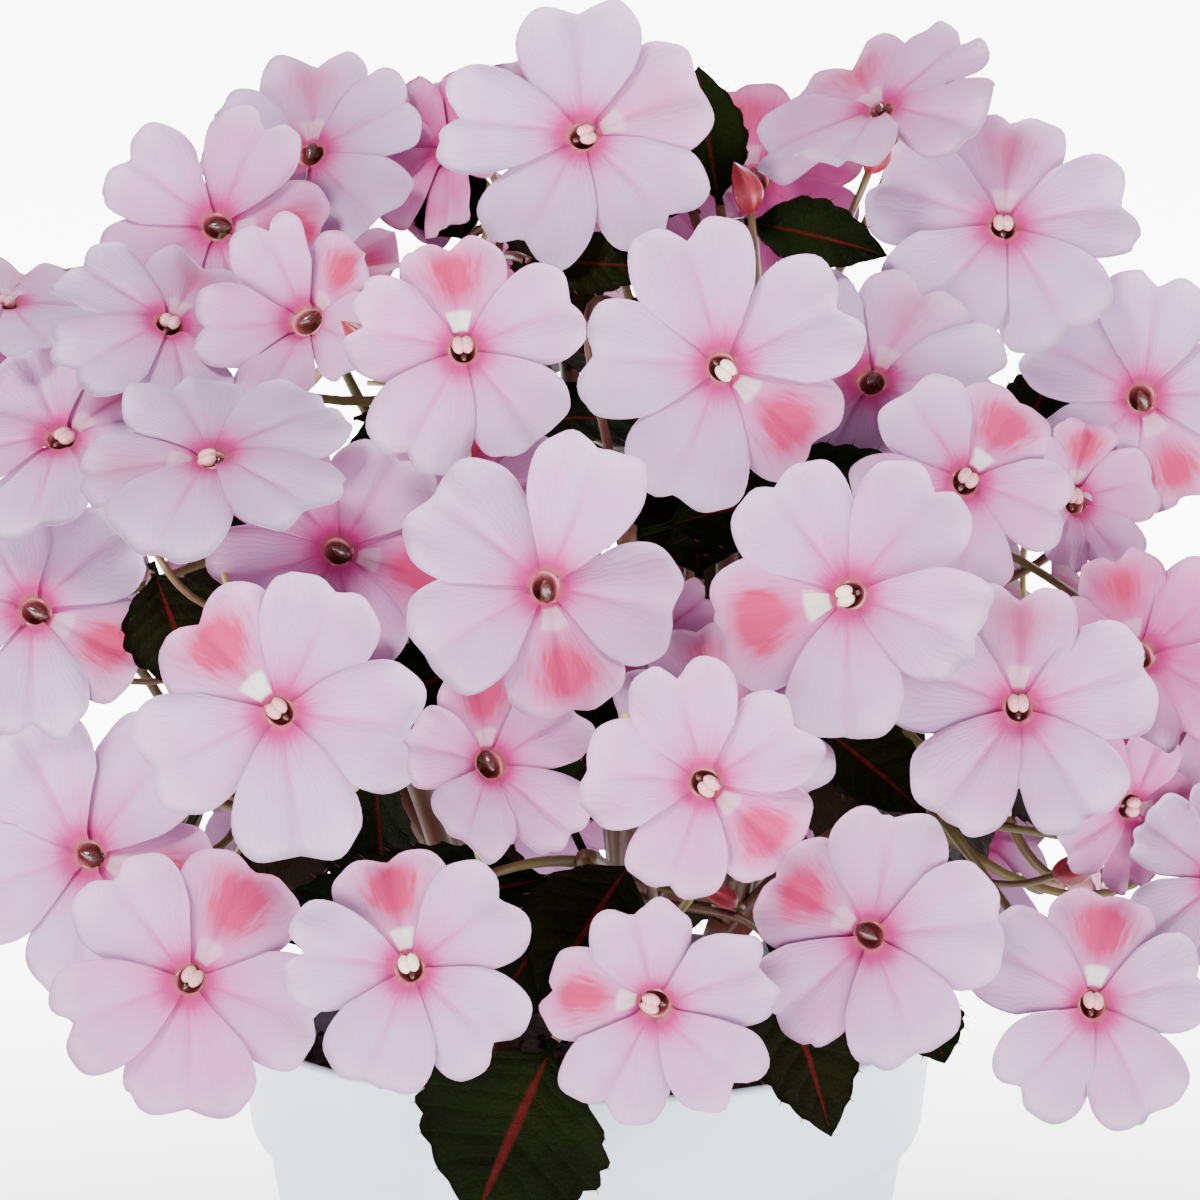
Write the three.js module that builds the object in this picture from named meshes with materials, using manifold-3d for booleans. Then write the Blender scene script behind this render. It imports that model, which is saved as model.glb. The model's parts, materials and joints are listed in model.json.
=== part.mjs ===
// A potted New Guinea impatiens: a plain tapered pot, its peat, five leafy stems, forty-three blooms on
// the side that the viewer sees and ten sprays of two or three blooms round the back.
// Millimetres, +Z up. The viewer stands on the -Y side, and the origin is the middle of the pot's base.
import * as THREE from 'three';
import { mergeVertices } from 'three/addons/utils/BufferGeometryUtils.js';
import Module from 'manifold-3d';

const wasm = await Module();
wasm.setup();

const DEG = Math.PI / 180;

// Pot
const POT_HEIGHT = 150;
const RIM_RADIUS = 85;
const BAND_FOOT_RADIUS = 82.2;
const BAND_FOOT_HEIGHT = 122;
const NECK_RADIUS = 77.8;
const NECK_HEIGHT = 117;
const BASE_RADIUS = 58;
const POT_WALL = 2.4;
const POT_FLOOR = 3;
const POT_SIDES = 24;
const BASE_BEVEL = 2;
const BAND_STEP_IN = 1.4;
const BAND_STEP_DOWN = 2;
const BAND_STEP_UP = 1;
const RIM_BEVEL = 1;
const DRAIN_RADIUS = 4.5;
const DRAIN_RING = 42;
const DRAIN_COUNT = 4;
const DRAIN_SIDES = 12;

// Soil
const SOIL_TOP = 137;
const SOIL_RELIEF = 2.2;
const SOIL_RINGS = 2;
const SOIL_GAP = 0.7;
const SEAT_GAP = 0.3;
const SOIL_SKIN = 1;
const SOIL_FALL = 2600;
const SOIL_WAVE_X = { span: 9, shift: 1.3 };
const SOIL_WAVE_Y = { span: 11, shift: -0.4 };

// Leafy stems
const STEM_COUNT = 5;
const STEM_ROOT_RING = 27;
const STEM_ROOT_DEPTH = 20;
const STEM_HOLE_SLACK = 1.6;
const STEM_HOLE_SIDES = 8;
const FIRST_STEM_BEARING = 20;
const STEM_RISE = 35;
const TRUNK_SIDES = 6;
const BRANCH_SIDES = 4;
const BRANCH_MIDDLE = 0.45;
const BRANCH_BOW = 12;
const BRANCH_SINK = 6;
const STEM_RADIUS = 4.6;
const TRUNK_RADII = [STEM_RADIUS, STEM_RADIUS, 4];
const FORK_RING = 34;
const FORK_HEIGHT = 172;
const BRANCH_RADII = [3.4, 3, 2.4];
const INNER_DOME = 88;
const DOME_MIDDLE = 214;
const INNER_STRETCH = 1.25;
const BRANCH_TIPS = [
  { bearing: -20, rise: -4 },
  { bearing: 17, rise: 15 },
  { bearing: -12, rise: 38 },
  { bearing: 24, rise: 64 },
];

// Blades, stalks and spurs
const PETAL_THICKNESS = 0.7;
const LEAF_THICKNESS = 0.8;
const STALK_RADII = [1.25, 1.3, 1.5];
const BUD_STALK_RADII = [1, 1, 1.2];
const CLEARANCE = 0.2;

// The line of sight that the blooms are placed along: a viewer 1.5 m off, looking down on the plant
const VIEW_DISTANCE = 1500;
const VIEW_TILT = 10.5 * DEG;
const VIEW_AIM = new THREE.Vector3(3.4, 0, 252);
const PICTURE_MIDDLE = 600;
const MM_PER_PIXEL = 0.2422;
const AHEAD = new THREE.Vector3(0, Math.cos(VIEW_TILT), -Math.sin(VIEW_TILT));
const UPWARD = new THREE.Vector3(0, Math.sin(VIEW_TILT), Math.cos(VIEW_TILT));
const RIGHTWARD = new THREE.Vector3(1, 0, 0);
const SKYWARD = new THREE.Vector3(0, 0, 1);
const VIEWER = VIEW_AIM.clone().addScaledVector(AHEAD, -VIEW_DISTANCE);

// One petal's outline in petal lengths: its right-hand corners from the widest place outwards, and its notch
const PETAL_CORNERS = [[0.48, 0.66], [0.31, 1.0]];
const PETAL_NOTCH = [0, 0.9];
const PETAL_FACES = [[0, 1, 2], [0, 2, 6], [2, 3, 4], [2, 4, 6], [4, 5, 6]];
const CLAW_HALF = 0.058;

// The five petals of a bloom, clockwise from the crown petal, which carries the red blotch
const PETALS = [
  { bearing: 0, length: 0.9, width: 1.3, layer: 0 },
  { bearing: 70, length: 0.97, width: 1.14, layer: 1 },
  { bearing: 144, length: 1.0, width: 1.16, layer: 2 },
  { bearing: -144, length: 1.0, width: 1.16, layer: 3 },
  { bearing: -70, length: 0.97, width: 1.14, layer: 1.6 },
];
const LAYER_LIFT = 0.9;
const LAYER_TILT = 2.6 * DEG;
const CLAW_OFFSET = 3;

// Petal relief and the differences that are drawn for it
const CURL = 0.1;
const CURL_SPREAD = 0.06;
const WAVE = 1.3;
const WAVE_SPREAD = 0.6;
const SLOW_WAVES = 4;
const SLOW_SHARE = 0.6;
const QUICK_WAVES = 7;
const QUICK_SHARE = 0.4;
const BEARING_SPREAD = 3;
const LENGTH_SPREAD = 0.05;
const WIDTH_SPREAD = 0.06;
const PITCH_SPREAD = 0.012;

// Seeds of the repeatable draws
const BLOOM_SEED = 100;
const SPRAY_SEED = 300;
const SPRAY_TURN_SEED = 500;
const WHORL_SEED = 700;

// The blooms that face the viewer. at: the throat's column and row in the picture; near: how far in
// front of the pot's axis it stands; turn and lift: degrees that the face looks right and up from the
// viewer; crown: the clock bearing of the crown petal; reach: petal length; cup: degrees that the petals
// stand forward; bend: degrees more for single petals, in their order.
const BLOOMS = [
  { at: [583, 137], near: 42, turn: -8, lift: 16, crown: 65, reach: 29 },
  { at: [312, 155], near: 8, turn: -25, lift: 26, crown: 350, reach: 26.5, bend: [0, 0, 0, 20] },
  { at: [217, 227], near: 24, turn: -15, lift: 14, crown: 95, reach: 25.5 },
  { at: [366, 186], near: -16, turn: 40, lift: 28, crown: 20, reach: 21, cup: 28 },
  { at: [452, 150], near: -2, turn: -48, lift: 12, crown: 20, reach: 18.5, cup: 10 },
  { at: [4, 306], near: 12, turn: 10, lift: 62, crown: 10, reach: 24.5 },
  { at: [38, 368], near: 38, turn: -6, lift: 48, crown: 350, reach: 25.5 },
  { at: [168, 326], near: 42, turn: 8, lift: 38, crown: 20, reach: 24.5 },
  { at: [308, 322], near: 46, turn: -32, lift: 16, crown: 50, reach: 22, cup: 24 },
  { at: [212, 460], near: 82, turn: -3, lift: 50, crown: 275, reach: 29 },
  { at: [62, 440], near: 52, turn: -22, lift: 36, crown: 40, reach: 24.5 },
  { at: [35, 612], near: 66, turn: -12, lift: 20, crown: 115, reach: 26.5 },
  { at: [463, 350], near: 84, turn: 3, lift: 6, crown: 355, reach: 24 },
  { at: [722, 368], near: 78, turn: 2, lift: 12, crown: 130, reach: 29 },
  { at: [882, 112], near: 2, turn: -30, lift: 44, crown: 330, reach: 27, bend: [0, 0, 0, 18] },
  { at: [1003, 228], near: 26, turn: 6, lift: 22, crown: 5, reach: 28 },
  { at: [872, 383], near: 52, turn: -12, lift: 26, crown: 20, reach: 28, cup: 10 },
  { at: [1141, 398], near: 36, turn: 8, lift: 10, crown: 155, reach: 25.5 },
  { at: [965, 482], near: 74, turn: 10, lift: 6, crown: 38, reach: 23 },
  { at: [850, 595], near: 114, turn: -4, lift: 8, crown: 255, reach: 29.5, bend: [0, 0, 0, 26] },
  { at: [1018, 708], near: 102, turn: 8, lift: 2, crown: 0, reach: 27.5 },
  { at: [1140, 655], near: 64, turn: 18, lift: 16, crown: 345, reach: 24.5, cup: 20 },
  { at: [1205, 705], near: 46, turn: 30, lift: 8, crown: 250, reach: 29 },
  { at: [1214, 880], near: 62, turn: 24, lift: 0, crown: 20, reach: 21 },
  { at: [1092, 1005], near: 96, turn: 18, lift: -4, crown: 8, reach: 25.5 },
  { at: [870, 935], near: 112, turn: 6, lift: -8, crown: 300, reach: 25.5 },
  { at: [705, 783], near: 138, turn: 0, lift: 0, crown: 130, reach: 23, cup: 6 },
  { at: [722, 724], near: 110, turn: 4, lift: 14, crown: 345, reach: 23 },
  { at: [545, 588], near: 110, turn: 8, lift: 14, crown: 170, reach: 29, bend: [0, 0, 0, 22] },
  { at: [338, 552], near: 92, turn: 0, lift: 26, crown: 105, reach: 26.5 },
  { at: [478, 500], near: 74, turn: 4, lift: 32, crown: 0, reach: 20.5 },
  { at: [645, 645], near: 88, turn: 16, lift: 12, crown: 200, reach: 16, cup: 34 },
  { at: [489, 765], near: 116, turn: 20, lift: 8, crown: 350, reach: 21, cup: 20 },
  { at: [280, 712], near: 120, turn: -2, lift: 2, crown: 315, reach: 29.5 },
  { at: [90, 855], near: 78, turn: -30, lift: 2, crown: 110, reach: 30.5 },
  { at: [190, 980], near: 104, turn: -8, lift: -6, crown: 35, reach: 29 },
  { at: [410, 968], near: 122, turn: -2, lift: -4, crown: 345, reach: 25 },
  { at: [655, 1003], near: 116, turn: 2, lift: -26, crown: 280, reach: 24.5, cup: 10 },
  { at: [640, 178], near: 6, turn: 16, lift: 2, crown: 30, reach: 21, cup: 16 },
  { at: [756, 180], near: -12, turn: 6, lift: 18, crown: 350, reach: 23 },
  { at: [1072, 500], near: 40, turn: 34, lift: 4, crown: 10, reach: 17, cup: 20 },
  { at: [1128, 806], near: 66, turn: 36, lift: -10, crown: 100, reach: 17 },
  { at: [-22, 752], near: 36, turn: -40, lift: 6, crown: 20, reach: 20.5 },
];

// The sprays round the back and the sides, with their blooms on the outer dome. bearing: degrees round
// from the viewer to the right; rise: degrees above the dome's middle.
const OUTER_DOME = 130;
const OUTER_STRETCH = 1.15;
const SPRAY_REACH = 26;
const FORK_RADII = [1.25, 1.4];
const FORK_SEAT_GAP = 1.6;
const FORK_DEPTH = 21;
const FORK_BEND = 14;
const SPRAY_FLATTEN = 0.8;
const SPRAY_LIFT = 34;
const SPRAYS = [
  [{ bearing: 93, rise: -15 }, { bearing: 99, rise: 13 }],
  [{ bearing: 126, rise: -17 }, { bearing: 130, rise: 11 }],
  [{ bearing: 156, rise: -14 }, { bearing: 161, rise: 14 }],
  [{ bearing: 186, rise: -17 }, { bearing: 191, rise: 11 }],
  [{ bearing: 217, rise: -14 }, { bearing: 222, rise: 14 }],
  [{ bearing: 248, rise: -17 }, { bearing: 252, rise: 11 }],
  [{ bearing: 275, rise: -13 }, { bearing: 281, rise: 14 }],
  [{ bearing: 110, rise: 37 }, { bearing: 147, rise: 38 }, { bearing: 122, rise: 62 }],
  [{ bearing: 184, rise: 37 }, { bearing: 220, rise: 38 }, { bearing: 205, rise: 62 }],
  [{ bearing: 256, rise: 36 }, { bearing: 236, rise: 62 }],
];

// Leaves that show between the blooms. base and tip: column and row; near: in front of the axis at the
// base and at the tip; width: across the blade; face: degrees that the upper side rolls to the right.
const SHOWN_LEAVES = [
  { base: [560, 1030], tip: [470, 1222], near: [104, 112], width: 46, face: 0 },
  { base: [765, 930], tip: [842, 1136], near: [96, 106], width: 27, face: 18 },
  { base: [640, 850], tip: [536, 996], near: [92, 104], width: 30, face: -14 },
  { base: [800, 712], tip: [930, 806], near: [84, 96], width: 22, face: 20 },
  { base: [700, 590], tip: [690, 448], near: [62, 50], width: 30, face: 0 },
  { base: [722, 215], tip: [694, 70], near: [14, 18], width: 20, face: -20 },
  { base: [735, 220], tip: [884, 244], near: [20, 36], width: 19, face: 24 },
  { base: [700, 216], tip: [606, 150], near: [18, 34], width: 16, face: -30 },
  { base: [520, 262], tip: [662, 262], near: [50, 56], width: 15, face: 8 },
  { base: [470, 250], tip: [425, 150], near: [0, 6], width: 20, face: -12 },
  { base: [1010, 450], tip: [1062, 366], near: [24, 20], width: 18, face: 30 },
  { base: [1060, 545], tip: [1112, 486], near: [44, 40], width: 14, face: 22 },
  { base: [915, 985], tip: [948, 1062], near: [78, 84], width: 16, face: 14 },
  { base: [150, 560], tip: [196, 690], near: [52, 70], width: 24, face: -10 },
  { base: [430, 620], tip: [400, 700], near: [62, 72], width: 24, face: -8 },
  { base: [610, 300], tip: [690, 350], near: [44, 52], width: 20, face: 10 },
];
const LEAF_TEETH = 2;
const TOOTH_START = 0.34;
const TOOTH_SPAN = 0.56;
const TOOTH_RUN = 0.06;
const TOOTH_OUT = 1.08;
const NOTCH_IN = 0.88;
const LEAF_FOLD = 0.16;
const LEAF_WAVE = 0.03;
const LEAF_CLAW = 0.13;
const LEAF_WAVES = 7;
const LEAF_BASE_POWER = 0.85;
const LEAF_TIP_POWER = 0.9;
const LEAF_RIBS = [1 / 3, 2 / 3];
const LEAF_BACK = -0.3;
const SHOWN_SKYWARD = 0.55;
const WHORL_LEAVES = 3;
const WHORL_SPREAD = 0.12;
const WHORL_SWING = 60;
const WHORL_START = 90;
const WHORL_PHASES = 6;
const WHORL_FLATTEN = 0.6;
const LEAF_SEAT = 2.5;
const SHOWN_DROOP = 0.25;
const WHORL_DROOP = 0.45;
const WHORL_ROOT = 0.98;
const WHORL_STEP = 0.07;
const WHORL_OFFSET = 1.2;
const WHORL_LENGTH = 82;
const WHORL_WIDTH = 28;

// Buds. at and near: the bud's root; lean: the clock bearing that it points to; size: its length.
const BUDS = [
  { at: [158, 556], near: 88, lean: 335, size: 17 },
  { at: [868, 174], near: 22, lean: 20, size: 11 },
  { at: [118, 652], near: 60, lean: 30, size: 12 },
  { at: [1052, 876], near: 74, lean: 65, size: 13 },
  { at: [738, 905], near: 92, lean: 290, size: 9 },
  { at: [752, 214], near: 32, lean: 340, size: 13 },
  { at: [372, 358], near: 66, lean: 320, size: 11 },
];

const BUD_PROFILE = [[0, 0], [0.2, 0.12], [0.29, 0.4], [0.19, 0.75], [0, 1]];
const BUD_SIDES = 5;
const BUD_TILT = -0.25;
const BUD_SEAT = 1.5;

// A repeatable draw between 0 and 1
function drawFrom(seed) {
  let state = seed >>> 0;
  return () => {
    state = (state + 0x6d2b79f5) >>> 0;
    let mixed = Math.imul(state ^ (state >>> 15), state | 1);
    mixed ^= mixed + Math.imul(mixed ^ (mixed >>> 7), mixed | 61);
    return ((mixed ^ (mixed >>> 14)) >>> 0) / 4294967296;
  };
}

function spread(draw, width) {
  return (2 * draw() - 1) * width;
}

// The point on the line of sight through a picture position, this far in front of the pot's axis
function sightPoint([column, row], near) {
  const ray = AHEAD.clone().multiplyScalar(VIEW_DISTANCE);
  ray.addScaledVector(RIGHTWARD, (column - PICTURE_MIDDLE) * MM_PER_PIXEL);
  ray.addScaledVector(UPWARD, (PICTURE_MIDDLE - row) * MM_PER_PIXEL);
  return VIEWER.clone().addScaledVector(ray, (-near - VIEWER.y) / ray.y);
}

// A point of the dome round the plant's middle, which is taller than wide above the middle
function domePoint(bearing, rise, radius, stretch = 1) {
  const level = radius * Math.cos(rise * DEG);
  return new THREE.Vector3(
    level * Math.sin(bearing * DEG),
    -level * Math.cos(bearing * DEG),
    DOME_MIDDLE + radius * Math.sin(rise * DEG) * (rise > 0 ? stretch : 1),
  );
}

// The frame of a bloom or blade from its place, the way it faces and the way its first petal points
function frameOf(place, face, crownAim) {
  const crown = crownAim.clone().addScaledVector(face, -crownAim.dot(face)).normalize();
  const side = crown.clone().cross(face);
  return new THREE.Matrix4().makeBasis(side, crown, face).setPosition(place);
}

// Closed solids in and out of the boolean library
function solidOf(geometry) {
  const bare = geometry.clone();
  bare.deleteAttribute('normal');
  bare.deleteAttribute('uv');
  const merged = mergeVertices(bare, 1e-4);
  return new wasm.Manifold(new wasm.Mesh({
    numProp: 3,
    vertProperties: Float32Array.from(merged.attributes.position.array),
    triVerts: Uint32Array.from(merged.index.array),
  }));
}

function geometryOf(solid) {
  const mesh = solid.getMesh();
  const geometry = new THREE.BufferGeometry();
  geometry.setAttribute('position', new THREE.BufferAttribute(Float32Array.from(mesh.vertProperties), 3));
  geometry.setIndex(Array.from(mesh.triVerts));
  return geometry;
}

// Solids joined into one, with any void that they close off between them filled
function fuse(solids) {
  const whole = solids.reduce((sum, next) => sum.add(next));
  return wasm.Manifold.compose(whole.decompose().filter((shell) => shell.volume() > 0));
}

function holdTogether(geometries) {
  return fuse(geometries.map(solidOf)).decompose().length === 1;
}

// A thin closed blade: both faces of a middle surface, split alike, and the wall along its edge
function bladeParts(points, triangles, thickness) {
  const normals = points.map(() => new THREE.Vector3());
  const edges = new Map();
  for (const [a, b, c] of triangles) {
    const across = points[b].clone().sub(points[a]).cross(points[c].clone().sub(points[a]));
    [a, b, c].forEach((corner) => normals[corner].add(across));
    [[a, b], [b, c], [c, a]].forEach(([from, to]) => edges.set(`${from},${to}`, [from, to]));
  }
  normals.forEach((normal) => normal.setLength(thickness / 2));
  const upper = points.map((point, k) => point.clone().add(normals[k]));
  const lower = points.map((point, k) => point.clone().sub(normals[k]));
  const rim = [...edges.values()].filter(([from, to]) => !edges.has(`${to},${from}`));
  return { upper, lower, rim };
}

function meshOf(points, triangles) {
  const geometry = new THREE.BufferGeometry().setFromPoints(points);
  geometry.setIndex(triangles.flat());
  return geometry;
}

function bladeGeometry(points, triangles, thickness) {
  const { upper, lower, rim } = bladeParts(points, triangles, thickness);
  const count = points.length;
  const faces = triangles.flatMap(([a, b, c]) => [[a, b, c], [count + c, count + b, count + a]]);
  const wall = rim.flatMap(([from, to]) => [[from, count + from, count + to], [from, count + to, to]]);
  return meshOf([...upper, ...lower], [...faces, ...wall]);
}

// The turns that carry a ring along a curve without twist, from the way that it first faces
function carriedTurns(curve, count, facing) {
  const carried = new THREE.Quaternion();
  let before = facing;
  return Array.from({ length: count }, (_, step) => {
    const aim = curve.getTangent(step / (count - 1));
    carried.premultiply(new THREE.Quaternion().setFromUnitVectors(before, aim));
    before = aim;
    return carried.clone();
  });
}

// A tapered stalk: a lathed spindle bent along a curve
function stalkGeometry(curve, radii, sides) {
  const profile = [new THREE.Vector2(0, 0)];
  radii.forEach((radius, step) => profile.push(new THREE.Vector2(radius, step / (radii.length - 1))));
  profile.push(new THREE.Vector2(0, 1));
  const geometry = new THREE.LatheGeometry(profile, sides);
  const position = geometry.attributes.position;
  const turns = carriedTurns(curve, radii.length, new THREE.Vector3(0, 1, 0));
  for (let k = 0; k < position.count; k += 1) {
    const along = position.getY(k);
    const offset = new THREE.Vector3(position.getX(k), 0, position.getZ(k));
    const turn = turns[Math.round(along * (radii.length - 1))];
    const point = offset.applyQuaternion(turn).add(curve.getPoint(along));
    position.setXYZ(k, point.x, point.y, point.z);
  }
  return geometry;
}

// What is already in place, to keep each new piece clear of it
const placed = [];

function boxOf(geometry) {
  geometry.computeBoundingBox();
  return geometry.boundingBox.clone();
}

function isClear(geometry, mayTouch = () => false) {
  const box = boxOf(geometry).expandByScalar(CLEARANCE);
  const near = placed.filter((other) => !mayTouch(other) && other.box.intersectsBox(box));
  if (near.length === 0) {
    return true;
  }
  const solid = solidOf(geometry);
  return near.every((other) => solid.minGap(other.solid, 2 * CLEARANCE) > CLEARANCE);
}

function place(geometry, owner, kind) {
  const piece = { solid: solidOf(geometry), box: boxOf(geometry), owner, kind };
  placed.push(piece);
  return piece.solid;
}

// Petals: each bloom draws its own waves, and small differences for its five petals
function petalShapes(bloom, seed) {
  const draw = drawFrom(seed);
  const whole = {
    reach: bloom.reach,
    curl: CURL + spread(draw, CURL_SPREAD),
    wave: WAVE + spread(draw, WAVE_SPREAD),
    phase: [draw() * 2 * Math.PI, draw() * 2 * Math.PI],
  };
  const cup = (bloom.cup ?? 0) * DEG;
  return PETALS.map((petal, k) => ({
    ...whole,
    bearing: petal.bearing + spread(draw, BEARING_SPREAD),
    length: bloom.reach * petal.length * (1 + spread(draw, LENGTH_SPREAD)),
    width: petal.width * (1 + spread(draw, WIDTH_SPREAD)),
    layer: petal.layer,
    pitch: cup + (bloom.bend?.[k] ?? 0) * DEG + petal.layer * LAYER_TILT + spread(draw, PITCH_SPREAD),
  }));
}

// A point of a petal's middle surface from its flat place, in petal lengths. Curl and waves follow the
// whole bloom, so that petals which lie on each other move together.
function petalPoint(petal, across, along) {
  const x = across * petal.length * petal.width;
  const y = along * petal.length + CLAW_OFFSET;
  const out = Math.hypot(x, y) / petal.reach;
  const swing = petal.bearing * DEG + Math.atan2(x, y);
  const slow = SLOW_SHARE * Math.sin(SLOW_WAVES * swing + petal.phase[0]);
  const wave = slow + QUICK_SHARE * Math.sin(QUICK_WAVES * swing + petal.phase[1]);
  const z = petal.wave * wave * out ** 3 - petal.curl * petal.reach * out * out;
  const span = Math.hypot(x, y) - CLAW_OFFSET;
  const radius = CLAW_OFFSET + span * Math.cos(petal.pitch) - z * Math.sin(petal.pitch);
  const height = span * Math.sin(petal.pitch) + z * Math.cos(petal.pitch) + petal.layer * LAYER_LIFT;
  return new THREE.Vector3(radius * Math.sin(swing), radius * Math.cos(swing), height);
}

// A petal's blade, counter-clockwise from the left of its claw to the right
function petalBlade(petal) {
  const left = [...PETAL_CORNERS].reverse().map(([x, y]) => [-x, y]);
  const outline = [[-CLAW_HALF, 0], [CLAW_HALF, 0], ...PETAL_CORNERS, PETAL_NOTCH, ...left];
  return bladeParts(outline.map(([x, y]) => petalPoint(petal, x, y)), PETAL_FACES, PETAL_THICKNESS);
}

// The throat and the spur are one trumpet, which curves back to the side that spurBearing gives
const SPUR_LENGTH = 30;
const SPUR_START = -8;
const SPUR_MIDDLE = { out: 0.1, back: -0.8 };
const SPUR_END = { out: 0.8, back: -0.55 };
const SPUR_BEARINGS = [180, 140, 220, 100, 260, 60, 300, 0];
const SPUR_RADII = [1.5, 0.7];
const SPUR_SIDES = 3;
const THROAT_DIP = -2;

function spurCurve(spurBearing) {
  const aim = new THREE.Vector3(Math.sin(spurBearing * DEG), Math.cos(spurBearing * DEG), 0);
  return new THREE.QuadraticBezierCurve3(
    new THREE.Vector3(0, 0, SPUR_START),
    aim.clone().multiplyScalar(SPUR_MIDDLE.out * SPUR_LENGTH).setZ(SPUR_MIDDLE.back * SPUR_LENGTH),
    aim.clone().multiplyScalar(SPUR_END.out * SPUR_LENGTH).setZ(SPUR_END.back * SPUR_LENGTH),
  );
}

// The spur's rings along its curve, each counter-clockwise from the front
function spurRings(curve) {
  const turns = carriedTurns(curve, SPUR_RADII.length, new THREE.Vector3(0, 0, -1));
  return SPUR_RADII.map((radius, step) => {
    const centre = curve.getPoint(step / (SPUR_RADII.length - 1));
    return Array.from({ length: SPUR_SIDES }, (_, side) => {
      const angle = Math.PI / 3 + (side * 2 * Math.PI) / SPUR_SIDES;
      const offset = new THREE.Vector3(radius * Math.cos(angle), radius * Math.sin(angle), 0);
      return offset.applyQuaternion(turns[step]).add(centre);
    });
  });
}

// Triangles between an upper ring and a lower one, both counter-clockwise from the front
function stitch(upper, lower) {
  const triangles = [];
  let [i, j] = [0, 0];
  while (i < upper.length || j < lower.length) {
    const [a, b] = [upper[i % upper.length], lower[j % lower.length]];
    if (j === lower.length || (i < upper.length && (i + 1) * lower.length <= (j + 1) * upper.length)) {
      triangles.push([a, b, upper[(i + 1) % upper.length]]);
      i += 1;
    } else {
      triangles.push([b, lower[(j + 1) % lower.length], a]);
      j += 1;
    }
  }
  return triangles;
}

// A whole bloom as one closed mesh: five blades round the throat's rim, and the trumpet behind
function bloomGeometry(petals, spurBearing) {
  const points = [new THREE.Vector3(0, 0, THROAT_DIP)];
  const triangles = [];
  const add = (list) => {
    const start = points.length;
    points.push(...list);
    return list.map((_, k) => start + k);
  };
  const blades = petals.map((petal) => {
    const { upper, lower, rim } = petalBlade(petal);
    const [top, bottom] = [add(upper), add(lower)];
    PETAL_FACES.forEach(([a, b, c]) => {
      triangles.push([top[a], top[b], top[c]], [bottom[c], bottom[b], bottom[a]]);
    });
    rim.filter(([from]) => from !== 0).forEach(([from, to]) => {
      triangles.push([top[from], bottom[from], bottom[to]], [top[from], bottom[to], top[to]]);
    });
    return { top, bottom };
  });
  const order = [0, 4, 3, 2, 1];
  const mouth = order.flatMap((k) => [blades[k].top[1], blades[k].top[0]]);
  const collar = order.flatMap((k) => [blades[k].bottom[1], blades[k].bottom[0]]);
  mouth.forEach((corner, k) => {
    const next = (k + 1) % mouth.length;
    triangles.push([0, corner, mouth[next]]);
    if (k % 2 === 1) {
      triangles.push([corner, collar[k], collar[next]], [corner, collar[next], mouth[next]]);
    }
  });
  const rings = [collar, ...spurRings(spurCurve(spurBearing)).map(add)];
  rings.slice(1).forEach((ring, k) => triangles.push(...stitch(rings[k], ring)));
  triangles.push([...rings[rings.length - 1]].reverse());
  return meshOf(points, triangles);
}

// The back of a bloom, where its stalk meets it
const STALK_SEAT = new THREE.Vector3(0, 3, -4.6);
const FORK_SEAT = new THREE.Vector3(0, 0.6, -5);

// The way a bloom faces, from the viewer's line to it
function viewedFrame(bloom) {
  const centre = sightPoint(bloom.at, bloom.near);
  const toViewer = VIEWER.clone().sub(centre).normalize();
  const right = UPWARD.clone().cross(toViewer).normalize();
  const up = toViewer.clone().cross(right);
  const face = toViewer.clone().multiplyScalar(Math.cos(bloom.lift * DEG) * Math.cos(bloom.turn * DEG));
  face.addScaledVector(right, Math.cos(bloom.lift * DEG) * Math.sin(bloom.turn * DEG));
  face.addScaledVector(up, Math.sin(bloom.lift * DEG));
  const crownAim = right.clone().multiplyScalar(Math.sin(bloom.crown * DEG));
  crownAim.addScaledVector(up, Math.cos(bloom.crown * DEG));
  return frameOf(centre, face.normalize(), crownAim);
}

// A bloom that would cross its neighbour slides nearer or farther along the line of sight
const SLIDE_STEP = 2;
const SLIDE_REACH = 16;

function slides() {
  const list = [0];
  for (let step = 1; step <= SLIDE_REACH; step += 1) {
    list.push(-step * SLIDE_STEP, step * SLIDE_STEP);
  }
  return list;
}

function settleBloom(bloom, k) {
  const seed = BLOOM_SEED + k;
  const owner = `bloom_${String(k + 1).padStart(2, '0')}`;
  const petals = petalShapes(bloom, seed);
  const shapes = SPUR_BEARINGS.map((bearing) => bloomGeometry(petals, bearing));
  for (const slide of slides()) {
    const frame = viewedFrame({ ...bloom, near: bloom.near + slide });
    for (const shape of shapes) {
      const geometry = shape.clone().applyMatrix4(frame);
      if (isClear(geometry)) {
        const solid = place(geometry, owner, 'bloom');
        const back = new THREE.Vector3().setFromMatrixColumn(frame, 2).negate();
        return { name: owner, solid, seat: STALK_SEAT.clone().applyMatrix4(frame), back };
      }
    }
  }
  console.warn(`${owner} finds no clear place`);
  return null;
}

// Materials
const finishes = {
  pot: new THREE.MeshStandardMaterial({ color: 0xdfe9ee, roughness: 0.45, metalness: 0 }),
  soil: new THREE.MeshStandardMaterial({ color: 0x2e1e16, roughness: 1, metalness: 0 }),
  stem: new THREE.MeshStandardMaterial({ color: 0x33401f, roughness: 0.5, metalness: 0 }),
  bloom: new THREE.MeshStandardMaterial({ color: 0xe9c6dc, roughness: 0.6, metalness: 0 }),
};

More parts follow.
